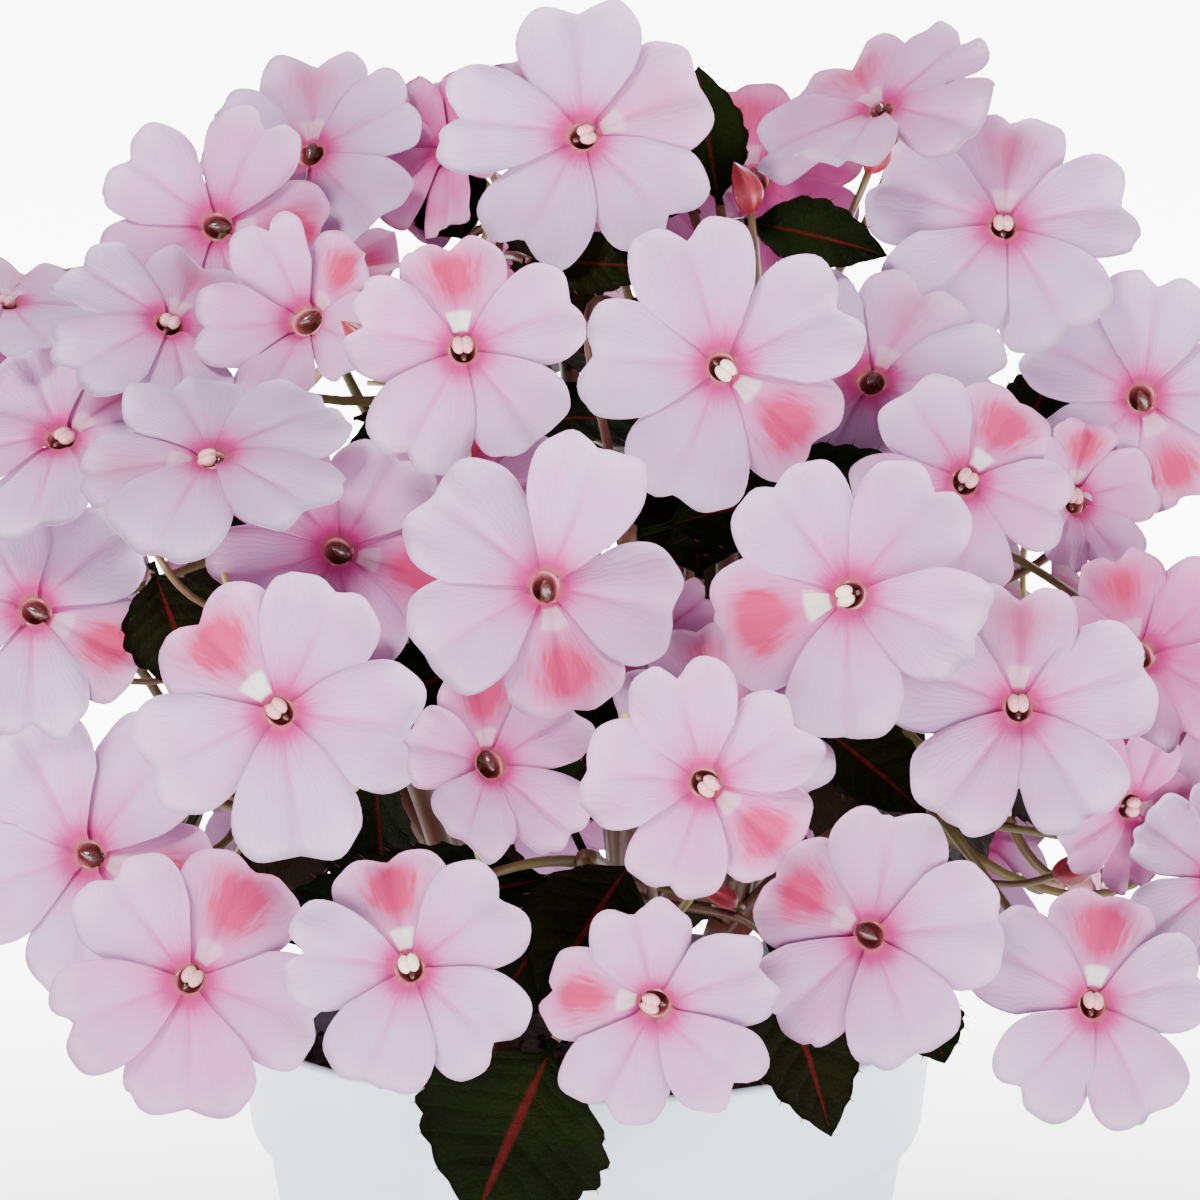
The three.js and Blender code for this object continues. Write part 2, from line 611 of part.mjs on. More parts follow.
// Pot
function potSolid() {
  const outer = [
    [0, 0],
    [BASE_RADIUS - BASE_BEVEL, 0],
    [BASE_RADIUS, BASE_BEVEL],
    [NECK_RADIUS, NECK_HEIGHT],
    [BAND_FOOT_RADIUS - BAND_STEP_IN, BAND_FOOT_HEIGHT - BAND_STEP_DOWN],
    [BAND_FOOT_RADIUS, BAND_FOOT_HEIGHT + BAND_STEP_UP],
    [RIM_RADIUS, POT_HEIGHT - RIM_BEVEL],
    [RIM_RADIUS - RIM_BEVEL, POT_HEIGHT],
  ];
  const inner = [
    [RIM_RADIUS - POT_WALL, POT_HEIGHT],
    [BAND_FOOT_RADIUS - POT_WALL, BAND_FOOT_HEIGHT],
    [NECK_RADIUS - POT_WALL, NECK_HEIGHT],
    [BASE_RADIUS - POT_WALL, POT_FLOOR],
    [0, POT_FLOOR],
  ];
  const profile = [...outer, ...inner].map(([r, z]) => new THREE.Vector2(r, z));
  const shell = new THREE.LatheGeometry(profile, POT_SIDES).rotateX(Math.PI / 2);
  let solid = solidOf(shell);
  for (let k = 0; k < DRAIN_COUNT; k += 1) {
    const angle = (k + 0.5) * ((2 * Math.PI) / DRAIN_COUNT);
    const hole = new THREE.CylinderGeometry(DRAIN_RADIUS, DRAIN_RADIUS, 4 * POT_FLOOR, DRAIN_SIDES);
    hole.rotateX(Math.PI / 2);
    hole.translate(DRAIN_RING * Math.cos(angle), DRAIN_RING * Math.sin(angle), 0);
    solid = solid.subtract(solidOf(hole));
  }
  return solid;
}

// The pot's inner radius at a height, for the soil
function potInside(height) {
  const share = THREE.MathUtils.clamp((height - POT_FLOOR) / (NECK_HEIGHT - POT_FLOOR), 0, 1);
  return THREE.MathUtils.lerp(BASE_RADIUS - POT_WALL, NECK_RADIUS - POT_WALL, share);
}

function soilHeight(x, y) {
  const east = Math.sin(x / SOIL_WAVE_X.span + SOIL_WAVE_X.shift);
  const north = Math.cos(y / SOIL_WAVE_Y.span + SOIL_WAVE_Y.shift);
  return SOIL_TOP + SOIL_RELIEF * east * north - (x * x + y * y) / SOIL_FALL;
}

// Where each leafy stem stands in the soil
function stemBearing(k) {
  return FIRST_STEM_BEARING + (k * 360) / STEM_COUNT;
}

function soilSolid() {
  const foot = POT_FLOOR + SEAT_GAP;
  const radius = potInside(NECK_HEIGHT) - SOIL_GAP;
  const footRadius = potInside(POT_FLOOR) - SOIL_GAP;
  const profile = [[0, foot], [footRadius, foot], [radius, NECK_HEIGHT], [radius, SOIL_TOP]];
  for (let ring = SOIL_RINGS - 1; ring >= 0; ring -= 1) {
    profile.push([(ring / SOIL_RINGS) * radius, SOIL_TOP]);
  }
  const plug = new THREE.LatheGeometry(profile.map(([r, z]) => new THREE.Vector2(r, z)), POT_SIDES);
  plug.rotateX(Math.PI / 2);
  const position = plug.attributes.position;
  for (let k = 0; k < position.count; k += 1) {
    if (position.getZ(k) > SOIL_TOP - SOIL_SKIN) {
      position.setZ(k, soilHeight(position.getX(k), position.getY(k)));
    }
  }
  let solid = solidOf(plug);
  for (let k = 0; k < STEM_COUNT; k += 1) {
    const root = domePoint(stemBearing(k), 0, STEM_ROOT_RING);
    const bore = STEM_RADIUS + STEM_HOLE_SLACK;
    const hole = new THREE.CylinderGeometry(bore, bore, 2 * STEM_ROOT_DEPTH, STEM_HOLE_SIDES);
    hole.rotateX(Math.PI / 2);
    hole.translate(root.x, root.y, SOIL_TOP);
    solid = solid.subtract(solidOf(hole));
  }
  return solid;
}

// Leafy stems: a stem out of the soil, and the branches that fork from it
function stemFork(k) {
  return domePoint(stemBearing(k), 0, FORK_RING).setZ(FORK_HEIGHT);
}

function stemCurve(k) {
  const root = domePoint(stemBearing(k), 0, STEM_ROOT_RING);
  const foot = SOIL_TOP - STEM_ROOT_DEPTH + SEAT_GAP;
  return new THREE.QuadraticBezierCurve3(
    root.clone().setZ(foot),
    root.clone().setZ(foot + STEM_RISE),
    stemFork(k),
  );
}

function branchCurve(k, tip) {
  const fork = stemFork(k);
  const end = domePoint(stemBearing(k) + tip.bearing, tip.rise, INNER_DOME, INNER_STRETCH);
  const middle = fork.clone().lerp(end, BRANCH_MIDDLE);
  middle.z += BRANCH_BOW;
  const start = fork.clone();
  start.z -= BRANCH_SINK;
  return new THREE.QuadraticBezierCurve3(start, middle, end);
}

// A point of a branch's outer half, which is straight between its middle ring and its tip
function branchPoint(curve, along) {
  return curve.getPoint(0.5).lerp(curve.getPoint(1), 2 * along - 1);
}

function makeStems() {
  const stems = [];
  for (let k = 0; k < STEM_COUNT; k += 1) {
    const owner = `leafy_stem_${k + 1}`;
    const trunk = stalkGeometry(stemCurve(k), TRUNK_RADII, TRUNK_SIDES);
    const pieces = [place(trunk, owner, 'branch')];
    const branches = BRANCH_TIPS.map((tip) => branchCurve(k, tip));
    for (const curve of branches) {
      pieces.push(place(stalkGeometry(curve, BRANCH_RADII, BRANCH_SIDES), owner, 'branch'));
    }
    stems.push({ name: owner, pieces, branches, joins: [] });
  }
  return stems;
}

// Stalks: from a seat behind a bloom, bud or leaf to the nearest branches, round what stands between
const STALK_JOINS = [0.98, 0.92, 0.86, 0.8, 0.74, 0.68, 0.62, 0.56, 0.5];
const STALK_TRIES = 40;
const BLOOM_STALK_REACH = 130;
const LEAF_STALK_REACH = 120;
const BUD_STALK_REACH = 100;
const STALK_BENDS = [0, 0.4, -0.4, 0.8, -0.8, 1.3, -1.3, 1.9, -1.9];
const STALK_SETBACKS = [0.35, 0.15, 0.06];
const STALK_SIDES = 3;
const STALK_BOW = 0.3;
const STALK_SECOND = 0.35;
const STALK_SECOND_LIFT = 0.25;
const JOIN_SPACING = 1;

function stalkRoutes(stems, seat, reach) {
  const routes = [];
  for (const stem of stems) {
    stem.branches.forEach((branch) => {
      for (const join of STALK_JOINS) {
        const point = branchPoint(branch, join);
        const length = point.distanceTo(seat);
        if (length < reach && !stem.joins.some((other) => other.distanceTo(point) < JOIN_SPACING)) {
          routes.push({ stem, point, length });
        }
      }
    });
  }
  return routes.sort((a, b) => a.length - b.length).slice(0, STALK_TRIES);
}

function stalkCurve(seat, back, join, setback, lift, swing) {
  const length = seat.distanceTo(join);
  const across = back.clone().cross(join.clone().sub(seat)).normalize();
  const first = seat.clone().addScaledVector(back, setback * length);
  first.addScaledVector(across, swing * STALK_BOW * length);
  first.z += lift * STALK_BOW * length;
  const second = join.clone().lerp(seat, STALK_SECOND).addScaledVector(across, swing * STALK_BOW * length);
  second.z += lift * STALK_SECOND_LIFT * length;
  return new THREE.CubicBezierCurve3(seat, first, second, join);
}

function settleStalk(stems, seat, back, radii, owner, reach) {
  for (const { stem, point } of stalkRoutes(stems, seat, reach)) {
    for (const setback of STALK_SETBACKS) {
      for (const swing of STALK_BENDS) {
        for (const lift of STALK_BENDS) {
          const curve = stalkCurve(seat, back, point, setback, lift, swing);
          const geometry = stalkGeometry(curve, radii, STALK_SIDES);
          if (isClear(geometry, (other) => other.owner === stem.name && other.kind === 'branch')) {
            stem.joins.push(point);
            return { stem, geometry };
          }
        }
      }
    }
  }
  console.warn(`${owner} finds no way for its stalk`);
  return null;
}

// Leaves: a toothed lance-shaped blade, folded along its midrib and bent down to its tip
function leafPoint(leaf, across, along) {
  const arc = leaf.droop;
  const swept = Math.sin(arc * along) / arc;
  const fallen = (1 - Math.cos(arc * along)) / arc;
  const edge = Math.abs(across) / (0.5 * leaf.width);
  const wave = LEAF_WAVE * leaf.length * Math.sin(LEAF_WAVES * along + leaf.phase);
  const rise = LEAF_FOLD * Math.abs(across) + wave * edge;
  return new THREE.Vector3(
    across,
    leaf.length * swept + rise * Math.sin(arc * along),
    -leaf.length * fallen + rise * Math.cos(arc * along),
  );
}

function leafHalfWidth(leaf, along) {
  const share = Math.max(0, (along - LEAF_CLAW) / (1 - LEAF_CLAW));
  return 0.5 * leaf.width * Math.sin(Math.PI * share ** LEAF_BASE_POWER) ** LEAF_TIP_POWER;
}

function leafGeometry(leaf) {
  const right = [];
  for (let tooth = 0; tooth < LEAF_TEETH; tooth += 1) {
    const at = TOOTH_START + (tooth * TOOTH_SPAN) / LEAF_TEETH;
    const notch = at + TOOTH_RUN;
    right.push([TOOTH_OUT * leafHalfWidth(leaf, at), at]);
    right.push([NOTCH_IN * leafHalfWidth(leaf, notch), notch]);
  }
  const left = [...right].reverse().map(([x, y]) => [-x, y]);
  const outline = [[0, 0], ...right, [0, 1], ...left];
  const points = [...outline, ...LEAF_RIBS.map((y) => [0, y])].map(([x, y]) => leafPoint(leaf, x, y));
  const side = right.length;
  const [lowRib, highRib] = [outline.length, outline.length + 1];
  const turn = Math.ceil(side / 2);
  const triangles = [];
  for (let k = 0; k <= side; k += 1) {
    const rib = k < turn ? lowRib : highRib;
    const mirrored = (outline.length - k) % outline.length;
    triangles.push([k, k + 1, rib], [outline.length - k - 1, mirrored, rib]);
  }
  triangles.push([turn, highRib, lowRib], [outline.length - turn, lowRib, highRib]);
  return bladeGeometry(points, triangles, LEAF_THICKNESS);
}

// A leaf between two points of the picture, its upper side to the viewer and the sky
function shownLeaf(entry, k) {
  const base = sightPoint(entry.base, entry.near[0]);
  const tip = sightPoint(entry.tip, entry.near[1]);
  const aim = tip.clone().sub(base);
  const length = aim.length();
  const face = new THREE.Vector3(Math.sin(entry.face * DEG), -Math.cos(entry.face * DEG), SHOWN_SKYWARD);
  const normal = face.addScaledVector(aim, -face.dot(aim) / (length * length)).normalize();
  const leaf = { length, width: entry.width, droop: SHOWN_DROOP, phase: k };
  return { leaf, frame: frameOf(base, normal, aim) };
}

const LEAF_SHIFTS = [0, -4, 4, -8, 8, -12, 12, -18, -24, 18];
const LEAF_SHRINKS = [1, 0.86, 0.72];

function settleShownLeaf(stems, entry, k) {
  for (const shrink of LEAF_SHRINKS) {
    for (const shift of LEAF_SHIFTS) {
      const { leaf, frame } = shownLeaf({ ...entry, near: entry.near.map((near) => near + shift) }, k);
      leaf.length *= shrink;
      leaf.width *= shrink;
      const geometry = leafGeometry(leaf).applyMatrix4(frame);
      if (!isClear(geometry)) {
        continue;
      }
      const seat = leafPoint(leaf, 0, LEAF_SEAT / leaf.length).applyMatrix4(frame);
      const back = leafPoint(leaf, 0, LEAF_BACK).applyMatrix4(frame).sub(seat).normalize();
      const stalk = settleStalk(stems, seat, back, STALK_RADII, `leaf ${k}`, LEAF_STALK_REACH);
      if (stalk && holdTogether([geometry, stalk.geometry])) {
        return { stem: stalk.stem, parts: [geometry, stalk.geometry] };
      }
    }
  }
  console.warn(`shown leaf ${k} is left out`);
  return null;
}

// Whorls: leaves round each branch tip, laid under the blooms
const WHORL_TURNS = [0, 18, -18, 36, -36, 54, -54];
const WHORL_OPENINGS = [74, 90, 58, 104, 118];
const WHORL_SHRINKS = [1, 0.86, 0.72, 0.6];

function whorlFrame(curve, order, turn, opening) {
  const tip = curve.getPoint(1);
  const outward = tip.clone().setZ(WHORL_FLATTEN * (tip.z - DOME_MIDDLE)).normalize();
  const radial = SKYWARD.clone().cross(outward).normalize().applyAxisAngle(outward, turn * DEG);
  const side = outward.clone().cross(radial);
  const aim = outward.clone().applyAxisAngle(side, opening * DEG);
  const face = radial.clone().negate().applyAxisAngle(side, opening * DEG);
  const root = branchPoint(curve, WHORL_ROOT - WHORL_STEP * order).addScaledVector(radial, WHORL_OFFSET);
  return frameOf(root, face, aim);
}

function settleWhorlLeaf(stem, curve, seed, order) {
  const draw = drawFrom(seed);
  const size = 1 + spread(draw, WHORL_SPREAD);
  const offset = order * (360 / WHORL_LEAVES) + draw() * WHORL_SWING - WHORL_START;
  const phase = draw() * WHORL_PHASES;
  for (const shrink of WHORL_SHRINKS) {
    const length = WHORL_LENGTH * size * shrink;
    const width = WHORL_WIDTH * size * shrink;
    const leaf = { length, width, droop: WHORL_DROOP, phase };
    const blade = leafGeometry(leaf);
    for (const opening of WHORL_OPENINGS) {
      for (const turn of WHORL_TURNS) {
        const geometry = blade.clone().applyMatrix4(whorlFrame(curve, order, offset + turn, opening));
        if (isClear(geometry, (other) => other.owner === stem.name && other.kind === 'branch')) {
          return geometry;
        }
      }
    }
  }
  return null;
}

// Buds: pointed spindles
function budGeometry(size) {
  const profile = BUD_PROFILE.map(([r, y]) => new THREE.Vector2(r * size, y * size));
  return new THREE.LatheGeometry(profile, BUD_SIDES);
}

function budFrame(bud, slide) {
  const root = sightPoint(bud.at, bud.near + slide);
  const aim = RIGHTWARD.clone().multiplyScalar(Math.sin(bud.lean * DEG));
  aim.addScaledVector(UPWARD, Math.cos(bud.lean * DEG)).addScaledVector(AHEAD, BUD_TILT).normalize();
  return { root, aim, frame: frameOf(root, AHEAD.clone().negate(), aim) };
}

function settleBud(stems, bud, k) {
  for (const slide of slides()) {
    const { aim, frame } = budFrame(bud, slide);
    const geometry = budGeometry(bud.size).applyMatrix4(frame);
    if (!isClear(geometry)) {
      continue;
    }
    const seat = new THREE.Vector3(0, BUD_SEAT, 0).applyMatrix4(frame);
    const back = aim.clone().negate();
    const stalk = settleStalk(stems, seat, back, BUD_STALK_RADII, `bud ${k}`, BUD_STALK_REACH);
    if (stalk && holdTogether([geometry, stalk.geometry])) {
      return { stem: stalk.stem, parts: [geometry, stalk.geometry] };
    }
  }
  console.warn(`bud ${k} is left out`);
  return null;
}

// Sprays: two or three blooms of the outer dome, joined by a forked stalk
function sprayFrames(heads, slide, seed) {
  const draw = drawFrom(seed);
  return heads.map(({ bearing, rise }) => {
    const centre = domePoint(bearing, rise, OUTER_DOME + slide, OUTER_STRETCH);
    const face = centre.clone().setZ(SPRAY_FLATTEN * (centre.z - DOME_MIDDLE) + SPRAY_LIFT).normalize();
    const crown = spread(draw, 180) * DEG;
    const crownAim = SKYWARD.clone().cross(face).normalize().multiplyScalar(Math.sin(crown));
    crownAim.addScaledVector(SKYWARD, Math.cos(crown));
    return frameOf(centre, face, crownAim);
  });
}

function settleSpray(heads, k) {
  const owner = `spray_${String(k + 1).padStart(2, '0')}`;
  const petals = heads.map((_, side) => petalShapes({ reach: SPRAY_REACH }, SPRAY_SEED + 2 * k + side));
  for (const slide of slides()) {
    const frames = sprayFrames(heads, slide, SPRAY_TURN_SEED + k);
    const seats = frames.map((frame) => FORK_SEAT.clone().applyMatrix4(frame));
    const backs = frames.map((frame) => new THREE.Vector3().setFromMatrixColumn(frame, 2).negate());
    const back = backs.reduce((sum, one) => sum.clone().add(one)).normalize();
    const joint = seats.reduce((sum, one) => sum.clone().add(one)).divideScalar(seats.length);
    joint.addScaledVector(back, FORK_DEPTH);
    const forks = seats.map((seat, side) => {
      const bend = seat.clone().addScaledVector(backs[side], FORK_BEND);
      const curve = new THREE.QuadraticBezierCurve3(seat, bend, joint);
      return solidOf(stalkGeometry(curve, FORK_RADII, STALK_SIDES));
    });
    for (const bearing of SPUR_BEARINGS) {
      const parts = petals.map((shapes, side) => {
        return solidOf(bloomGeometry(shapes, bearing).applyMatrix4(frames[side]));
      });
      const solid = fuse([...parts, ...forks]);
      if (isClear(geometryOf(solid))) {
        place(geometryOf(solid), owner, 'bloom');
        return { name: owner, solid, seat: joint.clone().addScaledVector(back, FORK_SEAT_GAP), back };
      }
    }
  }
  console.warn(`${owner} finds no clear place`);
  return null;
}

// The whole plant
const plant = new THREE.Group();

function addMesh(name, solid, finish) {
  const mesh = new THREE.Mesh(geometryOf(solid), finish);
  mesh.name = name;
  plant.add(mesh);
}

const pot = potSolid();
const soil = soilSolid();
place(geometryOf(pot), 'pot', 'pot');
place(geometryOf(soil), 'soil', 'soil');
const stems = makeStems();
const order = BLOOMS.map((bloom, k) => k).sort((a, b) => BLOOMS[b].near - BLOOMS[a].near);
const blooms = order.map((k) => settleBloom(BLOOMS[k], k)).filter(Boolean);
const sprays = SPRAYS.map(settleSpray).filter(Boolean);

for (const { seat, back, name } of [...blooms, ...sprays]) {
  const stalk = settleStalk(stems, seat, back, STALK_RADII, name, BLOOM_STALK_REACH);
  if (stalk) {
    stalk.stem.pieces.push(place(stalk.geometry, stalk.stem.name, 'stalk'));
  }
}
BUDS.forEach((bud, k) => {
  const found = settleBud(stems, bud, k);
  found?.parts.forEach((part) => found.stem.pieces.push(place(part, found.stem.name, 'bud')));
});
SHOWN_LEAVES.forEach((entry, k) => {
  const found = settleShownLeaf(stems, entry, k);
  found?.parts.forEach((part) => found.stem.pieces.push(place(part, found.stem.name, 'leaf')));
});
stems.forEach((stem, k) => {
  stem.branches.forEach((curve, side) => {
    for (let leaf = 0; leaf < WHORL_LEAVES; leaf += 1) {
      const blade = settleWhorlLeaf(stem, curve, WHORL_SEED + 20 * k + 4 * side + leaf, leaf);
      if (blade) {
        stem.pieces.push(place(blade, stem.name, 'leaf'));
      }
    }
  });
});

addMesh('pot', pot, finishes.pot);
addMesh('soil', soil, finishes.soil);
stems.forEach((stem) => addMesh(stem.name, fuse(stem.pieces), finishes.stem));
blooms.forEach((bloom) => addMesh(bloom.name, bloom.solid, finishes.bloom));
sprays.forEach((spray) => addMesh(spray.name, spray.solid, finishes.bloom));

export default plant;
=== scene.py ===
"""The looks of a potted New Guinea impatiens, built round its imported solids.

Sizes are millimetres until a mesh is made, and the row frame is used throughout: +Z is up, the viewer
stands on the -Y side, and the origin is the middle of the pot's base. Every bloom, spray and leafy stem
repeats the rule that its solid was made by, finds the solid's own place, and takes it with a finer form.
"""

from __future__ import annotations

import json
import logging
import math
from dataclasses import dataclass, field
from enum import Enum
from typing import Iterable, Sequence

import bpy
import numpy as np
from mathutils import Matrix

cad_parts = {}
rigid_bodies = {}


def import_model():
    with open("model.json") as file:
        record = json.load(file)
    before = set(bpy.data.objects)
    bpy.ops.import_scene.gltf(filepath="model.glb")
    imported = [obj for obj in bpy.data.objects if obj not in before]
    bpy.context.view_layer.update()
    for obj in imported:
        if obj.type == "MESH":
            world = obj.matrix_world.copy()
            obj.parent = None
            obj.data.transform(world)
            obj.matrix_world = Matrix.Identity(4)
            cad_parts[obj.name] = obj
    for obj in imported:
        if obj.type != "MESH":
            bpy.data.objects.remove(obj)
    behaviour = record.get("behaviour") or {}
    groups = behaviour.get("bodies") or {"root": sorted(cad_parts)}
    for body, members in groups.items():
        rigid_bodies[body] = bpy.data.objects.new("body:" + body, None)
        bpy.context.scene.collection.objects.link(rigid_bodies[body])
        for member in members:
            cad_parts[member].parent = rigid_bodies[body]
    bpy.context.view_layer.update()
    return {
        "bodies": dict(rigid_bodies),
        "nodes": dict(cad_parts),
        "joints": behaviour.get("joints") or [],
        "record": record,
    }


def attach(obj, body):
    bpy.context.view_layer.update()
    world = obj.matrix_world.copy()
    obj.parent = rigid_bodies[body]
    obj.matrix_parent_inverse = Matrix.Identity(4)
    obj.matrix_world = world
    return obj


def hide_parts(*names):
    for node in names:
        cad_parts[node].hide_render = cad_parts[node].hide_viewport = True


LOG = logging.getLogger("impatiens")
MM = 0.001
TAU = 2 * math.pi

# Pot
POT_HEIGHT = 150.0
RIM_RADIUS = 85.0
BAND_FOOT_RADIUS = 82.2
BAND_FOOT_HEIGHT = 122.0
NECK_RADIUS = 77.8
NECK_HEIGHT = 117.0
BASE_RADIUS = 58.0
POT_WALL = 2.4
POT_FLOOR = 3.0
POT_SIDES = 120
DRAIN_RADIUS = 4.5
DRAIN_RING = 42.0
DRAIN_COUNT = 4
BASE_BEVEL = 2.0
BAND_STEP_IN = 1.4
BAND_STEP_DOWN = 2.0
BAND_STEP_UP = 1.0
RIM_BEVEL = 1.0
CORNER_ROUND = 1.0
CUTTER_SIDES = 32
CUTTER_REACH = 5.0

# Soil
SOIL_TOP = 137.0
SOIL_RELIEF = 2.2
SOIL_GAP = 0.7
SEAT_GAP = 0.3
SOIL_SKIN = 1.0
SOIL_FALL = 2600.0
SOIL_WAVE_X = (9.0, 1.3)
SOIL_WAVE_Y = (11.0, -0.4)

# Leafy stems
STEM_COUNT = 5
STEM_ROOT_RING = 27.0
STEM_ROOT_DEPTH = 20.0
TRUNK_RADII = (4.6, 4.6, 4.0)
FIRST_STEM_BEARING = 20.0
STEM_RISE = 35.0
BRANCH_MIDDLE = 0.45
BRANCH_BOW = 12.0
BRANCH_SINK = 6.0
FORK_RING = 34.0
FORK_HEIGHT = 172.0
BRANCH_RADII = (3.4, 3.0, 2.4)
INNER_DOME = 88.0
INNER_STRETCH = 1.25
DOME_MIDDLE = 214.0

# Tips of a stem's branches: degrees round from its bearing, and degrees above the dome's middle
BRANCH_TIPS = ((-20.0, -4.0), (17.0, 15.0), (-12.0, 38.0), (24.0, 64.0))
STALK_RADII = (1.25, 1.3, 1.5)
BUD_STALK_RADII = (1.0, 1.0, 1.2)

# What was tried for a stalk: where it leaves its branch, how it bends, how far it runs straight back
STALK_JOINS = (0.98, 0.92, 0.86, 0.8, 0.74, 0.68, 0.62, 0.56, 0.5)
STALK_BENDS = (0.0, 0.4, -0.4, 0.8, -0.8, 1.3, -1.3, 1.9, -1.9)
STALK_SETBACKS = (0.35, 0.15, 0.06)
STALK_ROUTES = 80
STALK_BOW = 0.3
STALK_SECOND = 0.35
STALK_SECOND_LIFT = 0.25
BLOOM_STALK_REACH = 130.0
LEAF_STALK_REACH = 120.0
BUD_STALK_REACH = 100.0

# How burgundy each kind of stem is, from 0 to 1
TRUNK_TONE = 0.75
BRANCH_TONE = 0.8
FORK_TONE = 0.35
BLOOM_STALK_TONE = 0.3
BUD_STALK_TONE = 0.5
LEAF_STALK_TONE = 0.8

# The line of sight
VIEW_DISTANCE = 1500.0
VIEW_TILT = math.radians(10.5)
VIEW_AIM = np.array((3.4, 0.0, 252.0))
PICTURE_SIDE = 1200
PICTURE_MIDDLE = PICTURE_SIDE / 2
MM_PER_PIXEL = 0.2422
SENSOR_WIDTH = 36.0
AHEAD = np.array((0.0, math.cos(VIEW_TILT), -math.sin(VIEW_TILT)))
UPWARD = np.array((0.0, math.sin(VIEW_TILT), math.cos(VIEW_TILT)))
RIGHTWARD = np.array((1.0, 0.0, 0.0))
SKYWARD = np.array((0.0, 0.0, 1.0))
VIEWER = VIEW_AIM - VIEW_DISTANCE * AHEAD

# Petals
CLAW_OFFSET = 3.0
LAYER_LIFT = 0.9
LAYER_TILT = math.radians(2.6)
PETAL_FAN = math.radians(41.0)
PETAL_FAN_WIDTH = 1.15
MOUTH_DIP = 1.5
PETAL_LEAN = 1.1
CURL = 0.1
CURL_SPREAD = 0.06
WAVE = 1.3
WAVE_SPREAD = 0.6
SLOW_WAVES = 4
SLOW_SHARE = 0.6
QUICK_WAVES = 7
QUICK_SHARE = 0.4
BEARING_SPREAD = 3.0
LENGTH_SPREAD = 0.05
WIDTH_SPREAD = 0.06
PITCH_SPREAD = 0.012
PETAL_THICK = 0.42
PETAL_RIM = 0.12
BENT_PETAL = 3

# The petals, crown petal first: bearing from it, length, width, layer
PETALS = (
    (0.0, 0.9, 1.3, 0.0),
    (70.0, 0.97, 1.14, 1.0),
    (144.0, 1.0, 1.16, 2.0),
    (-144.0, 1.0, 1.16, 3.0),
    (-70.0, 0.97, 1.14, 1.6),
)
THROAT_DIP = -2.0
SPUR_LENGTH = 30.0
SPUR_START = -8.0
SPUR_MIDDLE = (0.1, -0.8)
SPUR_END = (0.8, -0.55)
SPUR_BEARINGS = (180, 140, 220, 100, 260, 60, 300, 0)
SPUR_TIP_RADIUS = 0.7
STALK_SEAT = (0.0, 3.0, -4.6)
FORK_SEAT = (0.0, 0.6, -5.0)
STALK_START = (0.0, 1.6, -2.6)
FORK_START = (0.0, 0.3, -3.2)
FORK_RADII = (1.3, 1.25, 1.4)
FORK_RINGS = 12
FORK_SIDES = 8
JOINT_SINK = 0.5
FORK_SEAT_GAP = 1.6
FORK_DEPTH = 21.0
FORK_BEND = 14.0
SLIDES = (0,) + tuple(sign * step for step in range(2, 34, 2) for sign in (-1, 1))
SPRAY_REACH = 26.0
OUTER_DOME = 130.0
OUTER_STRETCH = 1.15
SPRAY_FLATTEN = 0.8
SPRAY_LIFT = 34.0
THROAT_TOLERANCE = 0.1
BUD_TOLERANCE = 0.05
RING_HITS = 3
FACE_HITS = 2
MARKERS_NEEDED = 3

# Leaves
LEAF_THICKNESS = 0.8
LEAF_FOLD = 0.16
LEAF_WAVE = 0.03
LEAF_CLAW = 0.13
LEAF_SEAT = 2.5
LEAF_BACK = -0.3
LEAF_WAVES = 7
LEAF_BASE_POWER = 0.85
LEAF_TIP_POWER = 0.9
SHOWN_SKYWARD = 0.55
BUD_TILT = 0.25
BUD_SEAT = 1.5
BUD_KEELS = 5
TOOTH_AT = (0.34, 0.62)
TOOTH_OUT = 1.08
SHOWN_DROOP = 0.25
WHORL_DROOP = 0.45
WHORL_ROOT = 0.98
WHORL_STEP = 0.07
WHORL_OFFSET = 1.2
WHORL_LENGTH = 82.0
WHORL_WIDTH = 28.0
WHORL_LEAVES = 3
WHORL_SPREAD = 0.12
WHORL_SWING = 60
WHORL_START = 90
WHORL_PHASES = 6
WHORL_FLATTEN = 0.6
WHORL_TURNS = (0, 18, -18, 36, -36, 54, -54)
WHORL_OPENINGS = (74, 90, 58, 104, 118)
WHORL_SHRINKS = (1.0, 0.86, 0.72, 0.6)
LEAF_SHIFTS = (0, -4, 4, -8, 8, -12, 12, -18, -24, 18)
LEAF_SHRINKS = (1.0, 0.86, 0.72)

# Seeds of the repeatable draws: the first four are the solids' own
BLOOM_SEED = 100
SPRAY_SEED = 300
SPRAY_TURN_SEED = 500
WHORL_SEED = 700
SHOWN_SEED = 900
HEAD_SEED = 1300
HEART_SEED = 5000
LEAF_SEED = 7000
PETAL_SEED = 9000

Points = np.ndarray
Colour = tuple[float, float, float]
Profile = Sequence[tuple[float, float]]


class Heart(Enum):
    """What stands in the mouth of a bloom."""

    CREAM = "a pale pollen cap"
    PINK = "a pink pollen cap"
    DARK = "a dark seed-like ovary"


@dataclass(frozen=True)
class Bloom:
    """One bloom that faces the viewer.

    at is the throat's column and row in the picture; near is how far in front of the pot's axis it
    stands; turn and lift are degrees that the face looks right and up; crown is the clock bearing of the
    petal with the mark; reach is the longest petals' length before its draw; cup is degrees that they
    stand forward; bend is degrees more for one petal, the fourth of PETALS, whichever way it points.
    tone is how pink the whole bloom is, mark the strength of the blotch, pale the strength of the pale
    patch beside the throat.
    """

    at: tuple[float, float]
    near: float
    turn: float
    lift: float
    crown: float
    reach: float
    cup: float = 0.0
    bend: float = 0.0
    tone: float = 0.15
    mark: float = 0.5
    pale: float = 0.3
    heart: Heart = Heart.PINK


